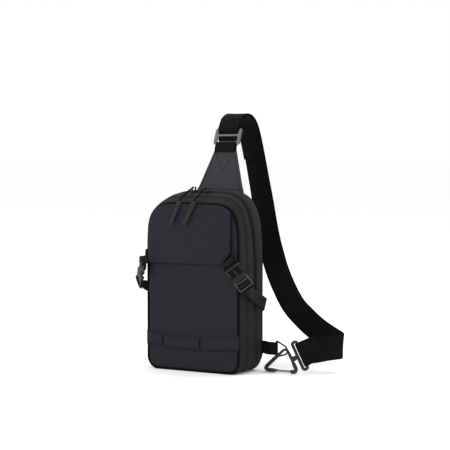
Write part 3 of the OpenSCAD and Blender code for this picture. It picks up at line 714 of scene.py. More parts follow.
# The gussets take the darker copy of the body cloth: painted shade.
place(cloth_wall("gusset_front", "seam", 0, "lip", 0, "all", 300, 17, SHADED_SIDE, 0.5, (1.0, 0.15)), "bag",
      "body_fabric", "front_gusset")
place(cloth_wall("gusset_rear", "zip", 2.4, "rear", 0, "all", 300, 26, SHADED_SIDE, 0.9, (1.0, 1.0)), "bag",
      "body_fabric", "rear_gusset")
place(cloth_wall("gusset_lip", "lip", 0.2, "zip", -1.8, "upper", 220, 18, SHADED_SIDE, 0.3, (0.15, 1.0)), "bag",
      "body_fabric", "zip_lip")
lower_gussets = [cloth_wall("lower_" + part, "lip", 0.2, "zip", 1.8, part, 40, 20, SHADED_SIDE, 0.15,
                            (0.12, 0.12)) for part in ("right", "left")]
place(join("gusset_lower", lower_gussets), "bag", "body_fabric", "lower_gusset")


def base_panel():
    u, v = spread(126, 1.5, 30), spread(66, 1.5, 16)
    rows = []
    for s in v:
        y = SEAM_Y + (REAR_SEAM_Y - SEAM_Y) * s
        half = half_width(y) - CORNER_R - 0.3
        rows.append([[half * (2 * t - 1), y, floor_z(y)] for t in u])
    grid = np.array(rows)
    return pillow("base_panel", grid, [0, 0, -1], SHADED_SIDE, 2.2, 0.0, 0.9, ends=True)


place(base_panel(), "bag", "body_fabric", "bottom_panel")
place(flat_panel("pocket_front", -37, 2.4, 3.5, 192, SHELL, 1.1, 1.2, creases=0.45), "bag",
      "body_fabric", "front_pocket")
place(flat_panel("wall_front", -27, 2.2, 2.9, None, SHELL, 0.0, 0.8), "bag", "body_fabric", "front_wall")
place(flat_panel("panel_back", 35, 2.4, 3.4, None, BACK, 0.0, 1.2, face=1, depth=33.2), "bag",
      "back_fabric", "back_panel")
place(flat_panel("pocket_inner", 20, 1.0, 7.5, 160, LINING, 0.3, 0.5), "bag", "lining", "inner_pocket")
place(flat_panel("board", 31.2, 0.8, 9, None, BOARD, 0.0, 0.3, creases=0.0, depth=31.2), "bag", "board",
      "stiffener_board")


PIPING_R = 1.6


# The near-black piping is a dark binding that also stands in for the shade of the seam's groove.
def piping(name, y):
    corner = half_outline(y, PIPING_R)[0][0, 0]
    base = np.column_stack([np.linspace(-corner, corner, 60)[1:-1], np.full(58, floor_z(y) + PIPING_R)])
    p = np.concatenate([outline(y, PIPING_R), base])
    return tube(name, np.column_stack([p[:, 0], np.full(len(p), y), p[:, 1]]), 1.55, [0, 1, 0], BINDING_AND_SEAM_SHADE,
                10, True)


place(piping("piping_front", FRONT_Y - 1.6), "bag", "binding", "front_piping")
place(piping("piping_rear", REAR_Y - 1.8), "bag", "binding", "rear_piping")


def binding_strip():
    """Folded tape over the pocket's raw top edge."""
    profile = [(-37.9, 186.8), (-38.2, 190), (-38.0, 192.3), (-37.2, 193.3), (-35.4, 193.3),
               (-34.2, 192.3), (-34.0, 190), (-34.3, 187.4)]
    x = np.linspace(-78, 65, 56)
    outer = np.array([[[xx, y, z] for y, z in profile] for xx in x])
    centre = np.array([-36.1, 189.5])
    inner = outer.copy()
    inner[..., 1:] = centre + (outer[..., 1:] - centre) * [0.72, 0.9]
    return slab("pocket_tape", outer, inner, BINDING_AND_SEAM_SHADE)


place(binding_strip(), "bag", "binding", "pocket_binding")

# ---------- zip ----------


def zip_tape():
    grid = wall("zip", -1.9, "zip", 2.5, "upper", 220, np.linspace(0, 1, 5), inset=1.7)
    return pillow("tape", grid, outwards(grid), BINDING_AND_SEAM_SHADE, 0.8, 0.0, 0.3)


def capsules(name, c, t, n, length, width, material):
    """Small rounded bars at the points c, along t, with their tops towards n."""
    t, n = unit(t), unit(n)
    side = np.cross(t, n)
    ends = np.array([-0.5, -0.38, 0, 0.38, 0.5]) * length
    size = np.array([0.3, 0.8, 1, 0.8, 0.3])
    sides, count = 6, 6 * len(ends)
    a = np.linspace(0, 2 * math.pi, sides, endpoint=False)
    ring = (np.cos(a)[None, :, None] * side[:, None] * width / 2 + np.sin(a)[None, :, None] * n[:, None]
            * width / 2)
    verts = c[:, None, None] + t[:, None, None] * ends[None, :, None, None] + ring[:, None] * size[None,
                                                                                                   :,
                                                                                                   None,
                                                                                                   None]
    faces = []
    for i in range(len(c)):
        at = i * count + np.arange(count).reshape(-1, sides)
        quads = np.stack([at[:-1], np.roll(at[:-1], -1, 1), np.roll(at[1:], -1, 1), at[1:]], axis=-1)
        faces += quads.reshape(-1, 4).tolist() + [at[0].tolist(), at[-1].tolist()]
    return new_object(name, verts.reshape(-1, 3), faces, material)


STITCH_PITCH, STITCH_LENGTH, STITCH_WIDTH = 3.2, 2.2, 1.0


def stitches(name, path, away):
    """A row of stitches along a path; away is the direction off the cloth."""
    path, away = np.asarray(path, float), np.broadcast_to(np.asarray(away, float), np.shape(path))
    along = run(path)
    at = np.linspace(0, along[-1], max(2, int(along[-1] / STITCH_PITCH) + 1))
    c = np.column_stack([np.interp(at, along, path[:, i]) for i in range(3)])
    n = np.column_stack([np.interp(at, along, away[:, i]) for i in range(3)])
    return capsules(name, c, np.gradient(c, axis=0), n, STITCH_LENGTH, STITCH_WIDTH, THREAD)


def zip_teeth():
    """Every tooth is a short bar across the gap; alternate teeth lean to alternate sides."""
    grid = wall("zip", -1.0, "zip", 1.6, "upper", 430, np.linspace(0, 1, 3), inset=1.1)
    across = grid[:, 2] - grid[:, 0]
    n = normals(grid, outwards(grid))[:, 1]
    shift = np.where(np.arange(len(grid)) % 2, 0.35, -0.35)[:, None]
    return capsules("teeth", grid[:, 1] + unit(across) * shift, across, n, 2.3, 1.0, ZIP)


place(join("zip_closure", [zip_tape(), zip_teeth()]), "bag", "zip_plastic", "zip_coil")


def stitch_rows(rows, slot):
    """Rows of stitches along panels, from [panel, side, distance from its edge, points left out]."""
    for name, side, distance, skip in rows:
        path, away = line_on(name, side, distance, skip)
        place(stitches(f"stitches_{name}_{side}", path, away), "bag", slot)


stitch_rows([("gusset_front", 1, 2.6, 6), ("gusset_lip", 0, 2.6, 4), ("gusset_lip", 1, 3.0, 4),
             ("gusset_rear", 0, 3.0, 6)], "binding")

# ---------- band ----------

BAND_Y, BAND_H = -37.9, 21.0
TACKS, BAND_ENDS = (-53.5, 14.5), (-81.5, 81.5)


def band_z(x):
    return 44 + 5.5 * (x / 83.5) ** 2


def band():
    x = np.concatenate([[-83.6, -82.6], np.linspace(-80.6, 80.6, 66), [82.6, 83.6]])
    u = spread(BAND_H, 2.2, 9) - 0.5
    grid = np.array([[[xx, BAND_Y - 1.3, band_z(xx) + BAND_H * s] for s in u] for xx in x])
    near = (0.5 - np.abs(u)) * BAND_H
    hem = 0.6 * np.clip(1 - np.abs(near - 1.4) / 1.2, 0, 1)
    puff = 0.9 * np.clip(1 - (2 * u) ** 4, 0, 1)
    pinch = np.ones(len(x))
    for tack in TACKS + BAND_ENDS:
        pinch *= 1 - np.exp(-((x - tack) / 5) ** 2)
    lift = hem[None] + puff[None] * pinch[:, None] + wobble(grid, 20, 0.25, 7.0)
    lift -= np.where(np.abs(x) > 81, 1.3, 0.0)[:, None] * (np.abs(x)[:, None] - 80.6) / 3
    outer = grid + np.array([0, -1, 0]) * lift[..., None]
    surfaces["band"] = (outer, np.broadcast_to([0, -1.0, 0], outer.shape))
    return slab("webbing_band", outer, grid + [0, 1.5, 0], SHELL)


place(band(), "bag", "body_fabric", "utility_band")
stitch_rows([("band", 0, 2.6, 3), ("band", 1, 2.6, 3)], "body_fabric")


def bartack(x):
    """A dense zigzag of thread down the band."""
    z = np.linspace(-8, 8, 34)
    path = [[x + (0.9 if i % 2 else -0.9), BAND_Y - 2.0, band_z(x) + zz] for i, zz in enumerate(z)]
    return tube(f"tack_{x:.0f}", path, 0.36, [0, 1, 0], THREAD, 6)


place(join("bartacks", [bartack(x) for x in TACKS]), "bag", "binding", "band_bartacks")

# ---------- flap ----------

FLAP_FACE, FLAP_T = -42.4, 3.4
FLAP_LEFT, FLAP_RIGHT, FLAP_BOTTOM = -79.5, 69.5, 167.5
CHAMFER = (16.0, 18.0)


def flap():
    _, upper = half_outline(FRONT_Y, 2.4)
    left = upper * [-1, 1]
    left = left[(left[:, 1] > CROWN_Z + 20) & (left[:, 0] > FLAP_LEFT)]
    turn = int(np.argmin(np.abs(left[:, 1] - left[:, 0] - (246 + 68))))
    left_side = np.concatenate([[[FLAP_LEFT, FLAP_BOTTOM + 3.5], [FLAP_LEFT, left[0, 1] - 4]],
                                left[:turn + 1]])
    right_top = np.interp(-FLAP_RIGHT, left[:, 0], left[:, 1])
    crest = left[turn:]
    top = np.concatenate([crest, flip(crest)])
    top = top[top[:, 0] < FLAP_RIGHT]
    top = np.concatenate([top, [[FLAP_RIGHT, right_top]]])
    cut = (FLAP_RIGHT - CHAMFER[0], FLAP_BOTTOM)
    bottom = rounded([[FLAP_LEFT, FLAP_BOTTOM + 20], [FLAP_LEFT, FLAP_BOTTOM], cut,
                      [FLAP_RIGHT, FLAP_BOTTOM + CHAMFER[1]], [FLAP_RIGHT, FLAP_BOTTOM + 40]],
                     [0.1, 3.5, 4, 4, 0.1])
    bottom = bottom[bottom[:, 1] <= FLAP_BOTTOM + CHAMFER[1] + 3.9]
    bottom = bottom[1:] if bottom[0, 0] > bottom[1, 0] else bottom
    start = int(np.argmin(np.abs(bottom[:, 0] - FLAP_LEFT) + np.abs(bottom[:, 1] - (FLAP_BOTTOM + 3.5))))
    bottom = bottom[start:]
    right = np.array([bottom[-1], [FLAP_RIGHT, right_top]])
    left_side[0] = bottom[0]
    u, v = spread(150, 1.6, 52), spread(90, 1.6, 40)
    flat = coons(bottom, top, left_side, right, u, v)
    grid = np.stack([flat[..., 0], np.full(flat.shape[:2], FLAP_FACE + 0.5), flat[..., 1]], axis=-1)
    return pillow("flap_cover", grid, [0, -1, 0], SHELL, FLAP_T - 0.6, 0.9, 1.5,
                  ends=True, extra=wobble(grid, 34, 0.3, 3.0))


def front_return():
    """The strip of the body's front that shows beside the flap."""
    _, upper = half_outline(FRONT_Y, 3.4)
    z = np.linspace(189, 247, 40)
    edge = np.interp(z, upper[:, 1], upper[:, 0])
    u = spread(12, 0.8, 5)
    grid = np.array([[[64 + (max(e, 65) - 64) * s, -36.4, zz] for s in u] for e, zz in zip(edge, z)])
    return pillow("front_return", grid, [0, -1, 0], SHELL, 1.6, 0.5, 0.8, extra=wobble(grid, 18, 0.3))


place(front_return(), "bag", "body_fabric")
flap_cover = flap()
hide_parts("flap", "flap_seam")
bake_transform(flap_cover)


# ---------- buckles ----------


def buckle_frame(at, turn, side):
    t, slope = math.radians(turn), math.radians(54)
    across = np.array([math.cos(t), math.sin(t), 0])
    up = np.array([0, 0, 1])
    u = across * math.cos(slope) - up * math.sin(slope)
    v = -across * math.sin(slope) - up * math.cos(slope)
    n = np.array([math.sin(t), -math.cos(t), 0])
    mirror = np.array([side, 1, 1])
    return [np.array(p) * mirror for p in (at, u, v, n)]


FRAMES = {"right": buckle_frame([84.6, -43.6, 153.7], 24, 1),
          "left": buckle_frame([95.7, -36, 150.5], 40, -1)}
SIGN = {"right": 1, "left": -1}


def frame_matrix(at, x, y, z):
    m = Matrix.Identity(4)
    for i, column in enumerate((x, y, z, np.asarray(at) * MM)):
        for j in range(3):
            m[j][i] = column[j]
    return m


def buckle_point(f, y, z):
    return f[0] + f[1] * y + f[3] * z


def box_loop(x0, x1, y0, y1, r):
    return rounded([[x0, y0], [x1, y0], [x1, y1], [x0, y1]], r)


HALF, LONG, MOUTH = 12.0, 24.0, 5.0


def buckle_matrix(side):
    at, along, across, out = FRAMES[side]
    return frame_matrix(at, across, along, out)


def buckle_plates(side, rows):
    """Plates in a buckle's own frame, from [loops, low, high, bevel] and the finish of the bevels, a lighter
    copy that paints a highlight.
    """
    m = buckle_matrix(side)
    return [plate("part", loops, low, high, bevel, PLASTIC, m, *(edge or [PLASTIC_HIGHLIGHT]))
            for loops, low, high, bevel, *edge in rows]


def buckle_socket(side):
    body = rounded([[-HALF, -14], [-HALF, -13], [-7.4, -11], [-7.4, -2.6], [-HALF, -0.4], [-HALF, MOUTH],
                    [HALF, MOUTH], [HALF, -0.4], [7.4, -2.6], [7.4, -11], [HALF, -13], [HALF, -14]],
                   [0.3, 0.9, 3.2, 3.2, 1.4, 1.8, 1.8, 1.4, 3.2, 3.2, 0.9, 0.3])
    rows = [([box_loop(-HALF, HALF, -LONG, -12.6, 2.6), box_loop(-9.8, 9.8, -21.4, -15.9, 1.6)], -2.4,
             2.8, 0.7), ([body], 0.9, 2.8, 0.6),
            ([box_loop(-6.2, 6.2, -11.6, 3.8, 1.6)], 2.2, 3.3, 0.4, PLASTIC),
            ([box_loop(-10.8, 10.8, 1.2, 4.4, 1.0)], 2.2, 3.5, 0.5),
            ([box_loop(-1.0, 1.0, -9.6, 0.2, 0.8)], 3.0, 3.8, 0.3),
            ([box_loop(-10.2, 10.2, -15.6, -12.8, 1.2)], 2.2, 3.5, 0.5),
            ([box_loop(-HALF, -10.4, -0.4, MOUTH, 0.6)], -2.4, 1.6, 0.3),
            ([box_loop(10.4, HALF, -0.4, MOUTH, 0.6)], -2.4, 1.6, 0.3)]
    place(join(f"{side}_socket", buckle_plates(side, rows)), "flap", "buckle_plastic",
          f"{side}_buckle_socket")


def buckle_plug(side):
    rows = [
        ([box_loop(-HALF, HALF, MOUTH + 1, LONG, 2.4), box_loop(-10, 10, 12, 16, 1.2),
          box_loop(-10, 10, 18.2, 21.8, 1.2)], -2.4, 2.4, 0.7),
        ([box_loop(-10.6, 10.6, 6.6, 10.8, 1.4)], 1.8, 3.2, 0.5),
        ([box_loop(-1.6, 1.6, -11, 6.5, 0.5)], -1.6, 0.6, 0.3)]
    place(join(f"{side}_plug", buckle_plates(side, rows)), "bag", "buckle_plastic",
          f"{side}_buckle_plug")
    for word, k in (("upper", -1), ("lower", 1)):
        p = [[4.4, 5.4], [4.4, -5], [6, -11], [8.8, -11.4], [11, -8.6], [11.4, -4.4], [9, -3.4],
             [7.2, -2.2], [7.2, 5.4]]
        arm = plate(f"{side}_{word}_arm",
                    [rounded([[k * x, y] for x, y in p], [0.2, 1.5, 1.2, 1.2, 1.5, 0.8, 0.8, 1, 0.2])],
                    -1.8, 0.6, 0.4, PLASTIC, buckle_matrix(side), PLASTIC_HIGHLIGHT)
        place(arm, f"{side}_{word}_prong", "buckle_plastic", f"{side}_{word}_prong")


# ---------- webbing at the buckles ----------

SIDE_W, SIDE_T = 19.5, 1.2


def band_stations(points, w):
    return [[*p, *w, SIDE_W] for p in points]


def mirrored(stations, side):
    return [[SIGN[side] * s[0], s[1], s[2], SIGN[side] * s[3], s[4], s[5], s[6]] for s in stations]


LOOP = [(-27.4, -4.4), (-25.3, -1.6), (-25.3, 2.2), (-24.4, 4), (-22, 4.3), (-20.5, 3.4), (-20.5, -1.4)]
CUT = np.array([18.0, 0, -16.0]) / math.hypot(18, 16)
LOOP_START = {"right": [[*(np.array([61.5, -38.3, 176.5]) + CUT * d),
                         *(np.array([-16, 0, -18]) / math.hypot(18, 16)), SIDE_W] for d in (-9, 1.8)],
              "left": [[-70.5, -38.3, 179, 0, 0, -1, SIDE_W], [-80.6, -38.3, 179, 0, 0, -1, SIDE_W],
                       [-82.2, -42.4, 177, 0.12, -0.1, -0.98, SIDE_W]]}
BENDS = {"right": [[95.9, -27.5, 130], [93.6, -19, 126], [88.4, 2, 118]],
         "left": [[100.3, -13, 127], [95.5, -3, 122.5], [89.2, 12, 115]]}
SIDE_END = [[87.4, 22, 110], [87.8, 32.4, 105], [87, 38.2, 102.6], [79, 37.4, 100]]
TAIL = [(15.1, -3.8), (15.1, 2.2), (16, 3.6), (18.4, 3.6), (20.2, 1.4), (20.4, -1.8), (21.6, -3.2),
        (25, -3.2), (28, -2.4)]


def side_webbing(side):
    f = FRAMES[side]
    loop = LOOP_START[side] + band_stations([buckle_point(f, y, z) for y, z in LOOP], f[2])
    place(ribbon(f"{side}_loop", loop, SIDE_T, NARROW_WEBBING, square=False), "flap", "webbing",
          f"{side}_flap_loop")
    strap = band_stations([buckle_point(f, y, -4.8) for y in (15.2, 25)], f[2])
    bends = BENDS[side]
    strap += mirrored([[*bends[0], *unit([-0.4, -0.34, -0.85]), SIDE_W]]
                      + [[*p, *unit([0, -0.4 if p[0] > 80 else 0, -0.92]), SIDE_W] for p in bends[1:]
                         + SIDE_END], side)
    place(ribbon(f"{side}_strap", strap, SIDE_T, NARROW_WEBBING, square=False), "bag", "webbing",
          f"{side}_side_strap")
    end = band_stations([buckle_point(f, y, z) for y, z in TAIL], f[2])
    place(ribbon(f"{side}_tail", end, SIDE_T, NARROW_WEBBING), "bag", "webbing", f"{side}_strap_tail")


for side in ("right", "left"):
    buckle_socket(side)
    buckle_plug(side)
    side_webbing(side)

# ---------- zip sliders and pulls ----------

SLIDER_Z = 277.4
PULLS = {"left": (-20.0, -19.0, -34.0), "right": (4.0, 8.0, -10.0)}


def zip_slider(side, x):
    k = SIGN[side]
    flat = frame_matrix([x, 0, SLIDER_Z], [k, 0, 0], [0, 1, 0], [0, 0, 1])
    # The slider's bevels take the lighter gunmetal: a painted highlight on its black paint.
    base = plate("slider_base", [rounded([[-6, -3], [-3, -4.5], [6, -4], [6, 4], [-3, 4.5], [-6, 3]],
                                         [1.2, 1.5, 1, 1, 1.5, 1.2])], 0, 2.2, 0.5, SLIDER_METAL, flat,
                 METAL)
    upright = frame_matrix([x, 0, SLIDER_Z], [k, 0, 0], [0, 0, 1], [0, -1, 0])
    bridge = plate("slider_bridge", [rounded([[-4, 1.4], [4.4, 1.4], [4.4, 8.2], [-4, 8.2]],
                                             [0.3, 0.3, 2.8, 2.8]),
                                     rounded([[-2.2, 2.4], [2.6, 2.4], [2.6, 6.6], [-2.2, 6.6]], 1.3)],
                   -1.4, 1.4, 0.45, SLIDER_METAL, upright, METAL)
    place(join(f"{side}_zip_slider", [base, bridge]), f"{side}_slider", "dark_metal", f"{side}_slider")


def twisted(name, path, radius, pitch):
    """Two strands laid round each other."""
    path = resample(catmull(path, 8), 110)
    t = unit(np.gradient(path, axis=0))
    a = unit(np.cross(t, [1, 0, 0.2]))
    b = np.cross(t, a)
    angle = (run(path) * 2 * math.pi / pitch)[:, None]
    strands = []
    for k in (0, math.pi):
        line = path + radius * 0.5 * (a * np.cos(angle + k) + b * np.sin(angle + k))
        strands.append(tube(f"{name}_strand", line, radius * 0.58, [1, 0, 0], CORD, 7))
    return strands


def pull(side, x, tab_x, foot_x):
    strands = []
    for s in (-1.1, 1.1):
        path = [[x + s, -2.6, SLIDER_Z + 5.2], [x + s, -12, SLIDER_Z + 3.4],
                [x + s + (tab_x - x) * 0.6, -28, SLIDER_Z - 4.5], [tab_x + s, -40.5, 267.6],
                [tab_x + s, -44.3, 264.6]]
        strands += twisted(f"{side}_cord", path, 0.8, 4.2)
    place(join(f"{side}_cord", strands), f"{side}_pull", "cord", f"{side}_pull_cord")
    turn = Matrix.Rotation(math.atan2(tab_x - foot_x, 37), 4, "Y") @ Matrix.Rotation(math.radians(-5), 4,
                                                                                     "X")
    at = Matrix.Translation(Vector((tab_x, -44.9, 262.8)) * MM) @ turn
    m = at @ frame_matrix([0, 0, 0], [1, 0, 0], [0, 0, 1], [0, -1, 0])
    hole = [[1.05 * math.cos(a), -34.6 + 1.05 * math.sin(a)]
            for a in np.linspace(0, 2 * math.pi, 16, endpoint=False)]
    # The tab's bevels take the lighter rubber copy: a painted highlight.
    tab = plate("tab", [rounded([[-3.2, 0], [-3.2, -38], [3.2, -38], [3.2, 0]], [1.4, 2.2, 2.2, 1.4]),
                        hole], -1.2, 1.1, 0.5, TAB_RUBBER, m, TAB_HIGHLIGHT)
    bars = [plate("grip", [box_loop(-1.9, 1.9, z, z + 1.1, 0.5)], 0.8, 1.5, 0.25, TAB_RUBBER, m,
                  TAB_HIGHLIGHT) for z in np.arange(-30.5, -12, 2.4)]
    panel = plate("tab_panel", [box_loop(-2.2, 2.2, -9.5, -1.6, 1.0)], 0.8, 1.45, 0.25, TAB_RUBBER, m,
                  TAB_HIGHLIGHT)
    place(join(f"{side}_tab", [tab, panel] + bars), f"{side}_pull", "pull_rubber", f"{side}_pull_tab")


for side, (x, tab_x, foot_x) in PULLS.items():
    zip_slider(side, x)
    pull(side, x, tab_x, foot_x)

# ---------- yoke, slider buckle and shoulder strap ----------

LEAN = math.radians(22)
GLIDE_AT = np.array([3.0, 66.0, 364.0])
GLIDE_V = np.array([0, math.sin(LEAN), math.cos(LEAN)])
GLIDE_N = np.array([0, -math.cos(LEAN), math.sin(LEAN)])
STRAP_W, STRAP_T = 38.0, 1.6


def glide_point(x, v, n):
    return GLIDE_AT + [x, 0, 0] + GLIDE_V * v + GLIDE_N * n


def yoke():
    """Two layers of cloth with turned edges, from the back panel up to the slider buckle."""
    stations = [[6, 37, 262, 88], [6, 37, 280, 84], [5.6, 40.2, 289, 76.5], [3.4, 58, 341, 41]]
    s = catmull([[a, b, c, 1, 0, 0, w] for a, b, c, w in stations], 16)
    share = spread(80, 1.7, 22) * 2 - 1
    t = unit(np.gradient(s[:, :3], axis=0))
    n = unit(np.cross([1, 0, 0], t))
    n = n if n[0, 1] < 0 else -n
    middle = s[:, None, :3] + np.array([1, 0, 0]) * (s[:, 6:7] * share / 2)[..., None]
    near = (1 - np.abs(share))[None, :] * s[:, 6:7] / 2
    rise = 1.7 * np.sqrt(1 - (1 - np.clip(near / 1.9, 0.02,
                                          1)) ** 2) + 0.5 * np.exp(-((near - 3.4) / 2.0) ** 2)
    rise = rise + wobble(middle, 22, 0.3, 5.0) * np.clip(near / 4, 0, 1)
    outer, inner = middle + n[:, None] * rise[..., None], middle - n[:, None] * (rise * 0.95)[..., None]
    surfaces["yoke"] = (outer, np.broadcast_to(n[:, None], outer.shape))
    return slab("yoke_cloth", outer, inner, YOKE)


place(yoke(), "bag", "yoke_fabric", "yoke")
stitch_rows([("yoke", 0, 5.2, 2), ("yoke", 1, 5.2, 2)], "yoke_fabric")


def yoke_line(name, from_, to):
    """A row of stitches between two places on the yoke, each [share across, share up]."""
    outer, n = surfaces["yoke"]
    rows, cols = outer.shape[:2]
    path, away = [], []
    for t in np.linspace(0, 1, 14):
        i = (from_[1] + (to[1] - from_[1]) * t) * (rows - 1)
        place_in_row = (from_[0] + (to[0] - from_[0]) * t) * (cols - 1)
        low, part = int(min(i, rows - 2)), min(i, rows - 1) - int(min(i, rows - 2))
        row, up = (grid[low] * (1 - part) + grid[low + 1] * part for grid in (outer, n))
        path.append([np.interp(place_in_row, np.arange(cols), row[:, k]) for k in range(3)])
        away.append([np.interp(place_in_row, np.arange(cols), up[:, k]) for k in range(3)])
    return stitches(name, np.array(path), np.array(away))


for k, (a, b) in enumerate([((0.2, 0.98), (0.5, 0.8)), ((0.8, 0.98), (0.5, 0.8))]):
    place(yoke_line(f"stitches_yoke_v{k}", a, b), "bag", "yoke_fabric")

loop_path = [(-27, 1.7), (-19, 2.8)] + [(-12 + 2.5 * math.cos(a), 2.5 * math.sin(a))
                                        for a in np.radians([90, 60, 30, 0, -30, -60, -90])]
loop_path += [(-18, -2.7), (-23, -4), (-30, -4.6)]
place(ribbon("loop", [[*glide_point(0, v, n), 1, 0, 0, STRAP_W - 1] for v, n in loop_path], 1.2,
             WEBBING), "bag", "webbing", "yoke_loop")

# The glide's bevels take the lighter gunmetal copy: a painted highlight.
glide = plate("glide", [box_loop(-24.2, 24.2, -14.4, 14.4, 5.5), box_loop(-18.2, 18.2, -10.2, 0.2, 2.2),
                        box_loop(-18.2, 18.2, 3.9, 10.2, 2.2)], -1.5, 1.5, 0.8, METAL,
              frame_matrix(GLIDE_AT, [1, 0, 0], GLIDE_V, GLIDE_N), METAL_HIGHLIGHT)
place(glide, "bag", "dark_metal", "slider_buckle")

# ---------- anchor tab, ring, hook and strap ring ----------

BAR_AT = np.array([110.5, 30.6, 35.5])


def anchor():
    wrap = [[BAR_AT[0] + 2.3 * math.cos(a), BAR_AT[1] + 2.3 * math.sin(a)]
            for a in np.radians(np.arange(-90, 91, 15))]
    path = [[80, 37.6], [86.6, 37.4], [90, 32.8], [98, 28.8]] + wrap + [[98, 32.8], [91, 36.4],
                                                                        [88, 39.4], [80, 39.6]]
    return ribbon("anchor", [[x, y, BAR_AT[2], 0, 0, 1, SIDE_W] for x, y in path], 1.1, NARROW_WEBBING)


place(anchor(), "bag", "webbing", "anchor_tab")


def ring():
    turn = math.radians(28)
    way = np.array([math.cos(turn), -math.sin(turn), 0])
    arc = [[24 + 6.5 * math.cos(a), 6.5 * math.sin(a)] for a in np.radians(np.linspace(76, -76, 22))]
    bar = [[0, z] for z in np.linspace(-9.5, 9.5, 8)]
    corner = [[0.25, 10.9], [1.2, 11.8], [3, 11.9]]
    path = bar + corner + arc + [[x, -z] for x, z in corner[::-1]]
    smooth = resample(np.array(path + [path[0]]), 120, False)
    for _ in range(2):
        smooth = 0.5 * smooth + 0.25 * (np.roll(smooth, 1, 0) + np.roll(smooth, -1, 0))
    return tube("wire_ring", [BAR_AT + way * p[0] + [0, 0, p[1]] for p in smooth], 1.35,
                np.cross(way, [0, 0, 1]), METAL, 14, True)


place(ring(), "triangle_ring", "dark_metal", "triangle_ring")

HOOK_Y, GATE_Z, PIN_X = 20.7, 3.4, 115
APEX, LEFT, RIGHT = np.array([133.5, 40.0]), np.array([93.0, GATE_Z]), np.array([153.0, GATE_Z])
GATE = (112.0, 142.0)
LEG = (RIGHT - APEX) / np.linalg.norm(RIGHT - APEX)
SWIVEL = np.array([-LEG[1], LEG[0]])
SWIVEL_AT = (APEX + RIGHT) / 2


def hook_xyz(p):
    return np.array([p[0], HOOK_Y, p[1]])


def corner_curve(before, corner, after, r, steps):
    a = corner + (before - corner) / np.linalg.norm(before - corner) * r
    b = corner + (after - corner) / np.linalg.norm(after - corner) * r
    return [a * (1 - t) ** 2 + corner * 2 * t * (1 - t) + b * t * t
            for t in np.linspace(0, 1, steps + 1)]


def turned(name, profile, at, axis, material, closed=False, sides=32):
    """A part turned on a lathe, from [radius, distance along the axis] points."""
    axis = unit(axis)
    a = unit(np.cross(axis, [0, 1, 0.01]))
    b = np.cross(axis, a)
    angle = np.linspace(0, 2 * math.pi, sides, endpoint=False)
    ring = np.cos(angle)[:, None] * a + np.sin(angle)[:, None] * b
    rings = np.array([np.asarray(at) + axis * z + ring * r for r, z in profile])
    return rings_to_object(name, rings, material, closed)


SWIVEL_AXIS = np.array([SWIVEL[0], 0, SWIVEL[1]])


def hook():
    gate_left, gate_right = np.array([GATE[0], GATE_Z]), np.array([GATE[1], GATE_Z])
    path = [np.array([GATE[1] + 1, GATE_Z])] + corner_curve(gate_right, RIGHT, APEX, 8, 14) + [SWIVEL_AT]
    path += corner_curve(RIGHT, APEX, LEFT, 9, 14) + corner_curve(APEX, LEFT, gate_left, 12,
                                                                  16) + [np.array([GATE[0] - 1, GATE_Z])]
    line = np.array([hook_xyz(p) for p in resample(np.array(path), 150)])
    from_ring = np.linalg.norm(line - [129.5, HOOK_Y, 37], axis=1)
    swell = smooth_step((from_ring - 8) / 10) * smooth_step((np.linalg.norm(line - hook_xyz(SWIVEL_AT),
                                                                            axis=1) - 2) / 6)
    wire = tube("hook_wire", line, 2.1 + 0.9 * swell, [0, 1, 0], METAL, 18)
    boss = turned("hook_boss", [[1.66, 6.2], [3.3, 6.2], [4, 5.5], [4, 1.7], [3.3, 1.0], [2.6, 1.0],
                                [2.6, 4.4], [1.66, 4.4]], hook_xyz(SWIVEL_AT), SWIVEL_AXIS, METAL, True)
    ears = []
    for k in (-1, 1):
        low = 2.05 if k > 0 else -3.15
        ears.append(plate("ear", [rounded([[-9, -1.9], [1.9, -1.9], [1.9, 1.9], [-9, 1.9]],
                                          [0.8, 1.5, 1.5, 0.8])], low, low + 1.1, 0.25, METAL,
                          frame_matrix([PIN_X, HOOK_Y, GATE_Z], [1, 0, 0], [0, 0, 1], [0, 1, 0])))
    return join("hook_frame", [wire, boss] + ears)


place(hook(), "hook", "dark_metal", "hook_body")
place(turned("pin", [[0.55, -3.25], [0.8, -3.1], [0.8, 3.1], [0.55, 3.25]], [PIN_X, HOOK_Y, GATE_Z],
             [0, 1, 0], STEEL), "hook", "steel", "gate_pin")
place(turned("gate_rod", [[0.9, 112.8], [1.5, 113.1], [1.7, 113.8], [1.7, 139.8], [1.45, 140.1],
                          [1.45, 140.7], [1.7, 141], [1.7, 141.9], [1.3, 142.4], [0.6, 142.5]],
             [0, HOOK_Y, GATE_Z], [1, 0, 0], STEEL), "gate", "steel", "hook_gate")


def swivel():
    at = hook_xyz(SWIVEL_AT)
    post = turned("post", [[2.0, 2.8], [2.4, 3.1], [2.4, 4.1], [1.6, 4.2], [1.6, 9.2]], at, SWIVEL_AXIS,
                  STEEL)
    loop = rounded([[-22.5, 11.5], [22.5, 11.5], [22.5, 20], [-22.5, 20]], 4, 7)
    loop = resample(np.concatenate([loop, loop[:1]]), 140, False)
    path = [hook_xyz(SWIVEL_AT + LEG * p[0] + SWIVEL * p[1]) for p in loop]
    wire = tube("strap_wire", path, 2.5, [0, 1, 0], METAL, 18, True)
    collar = turned("collar", [[1.66, 6.6], [2.9, 6.6], [3.5, 7.2], [3.3, 7.9], [3.6, 8.6], [3.6, 9.6],
                               [3.0, 10.6], [1.66, 10.6]], at, SWIVEL_AXIS, METAL, True)
    return post, join("square_ring", [wire, collar])


post, square_ring = swivel()
for made, slot, node in ((post, "steel", "swivel_post"), (square_ring, "dark_metal", "strap_ring")):
    place(made, "bag", slot, node)

# ---------- shoulder strap ----------

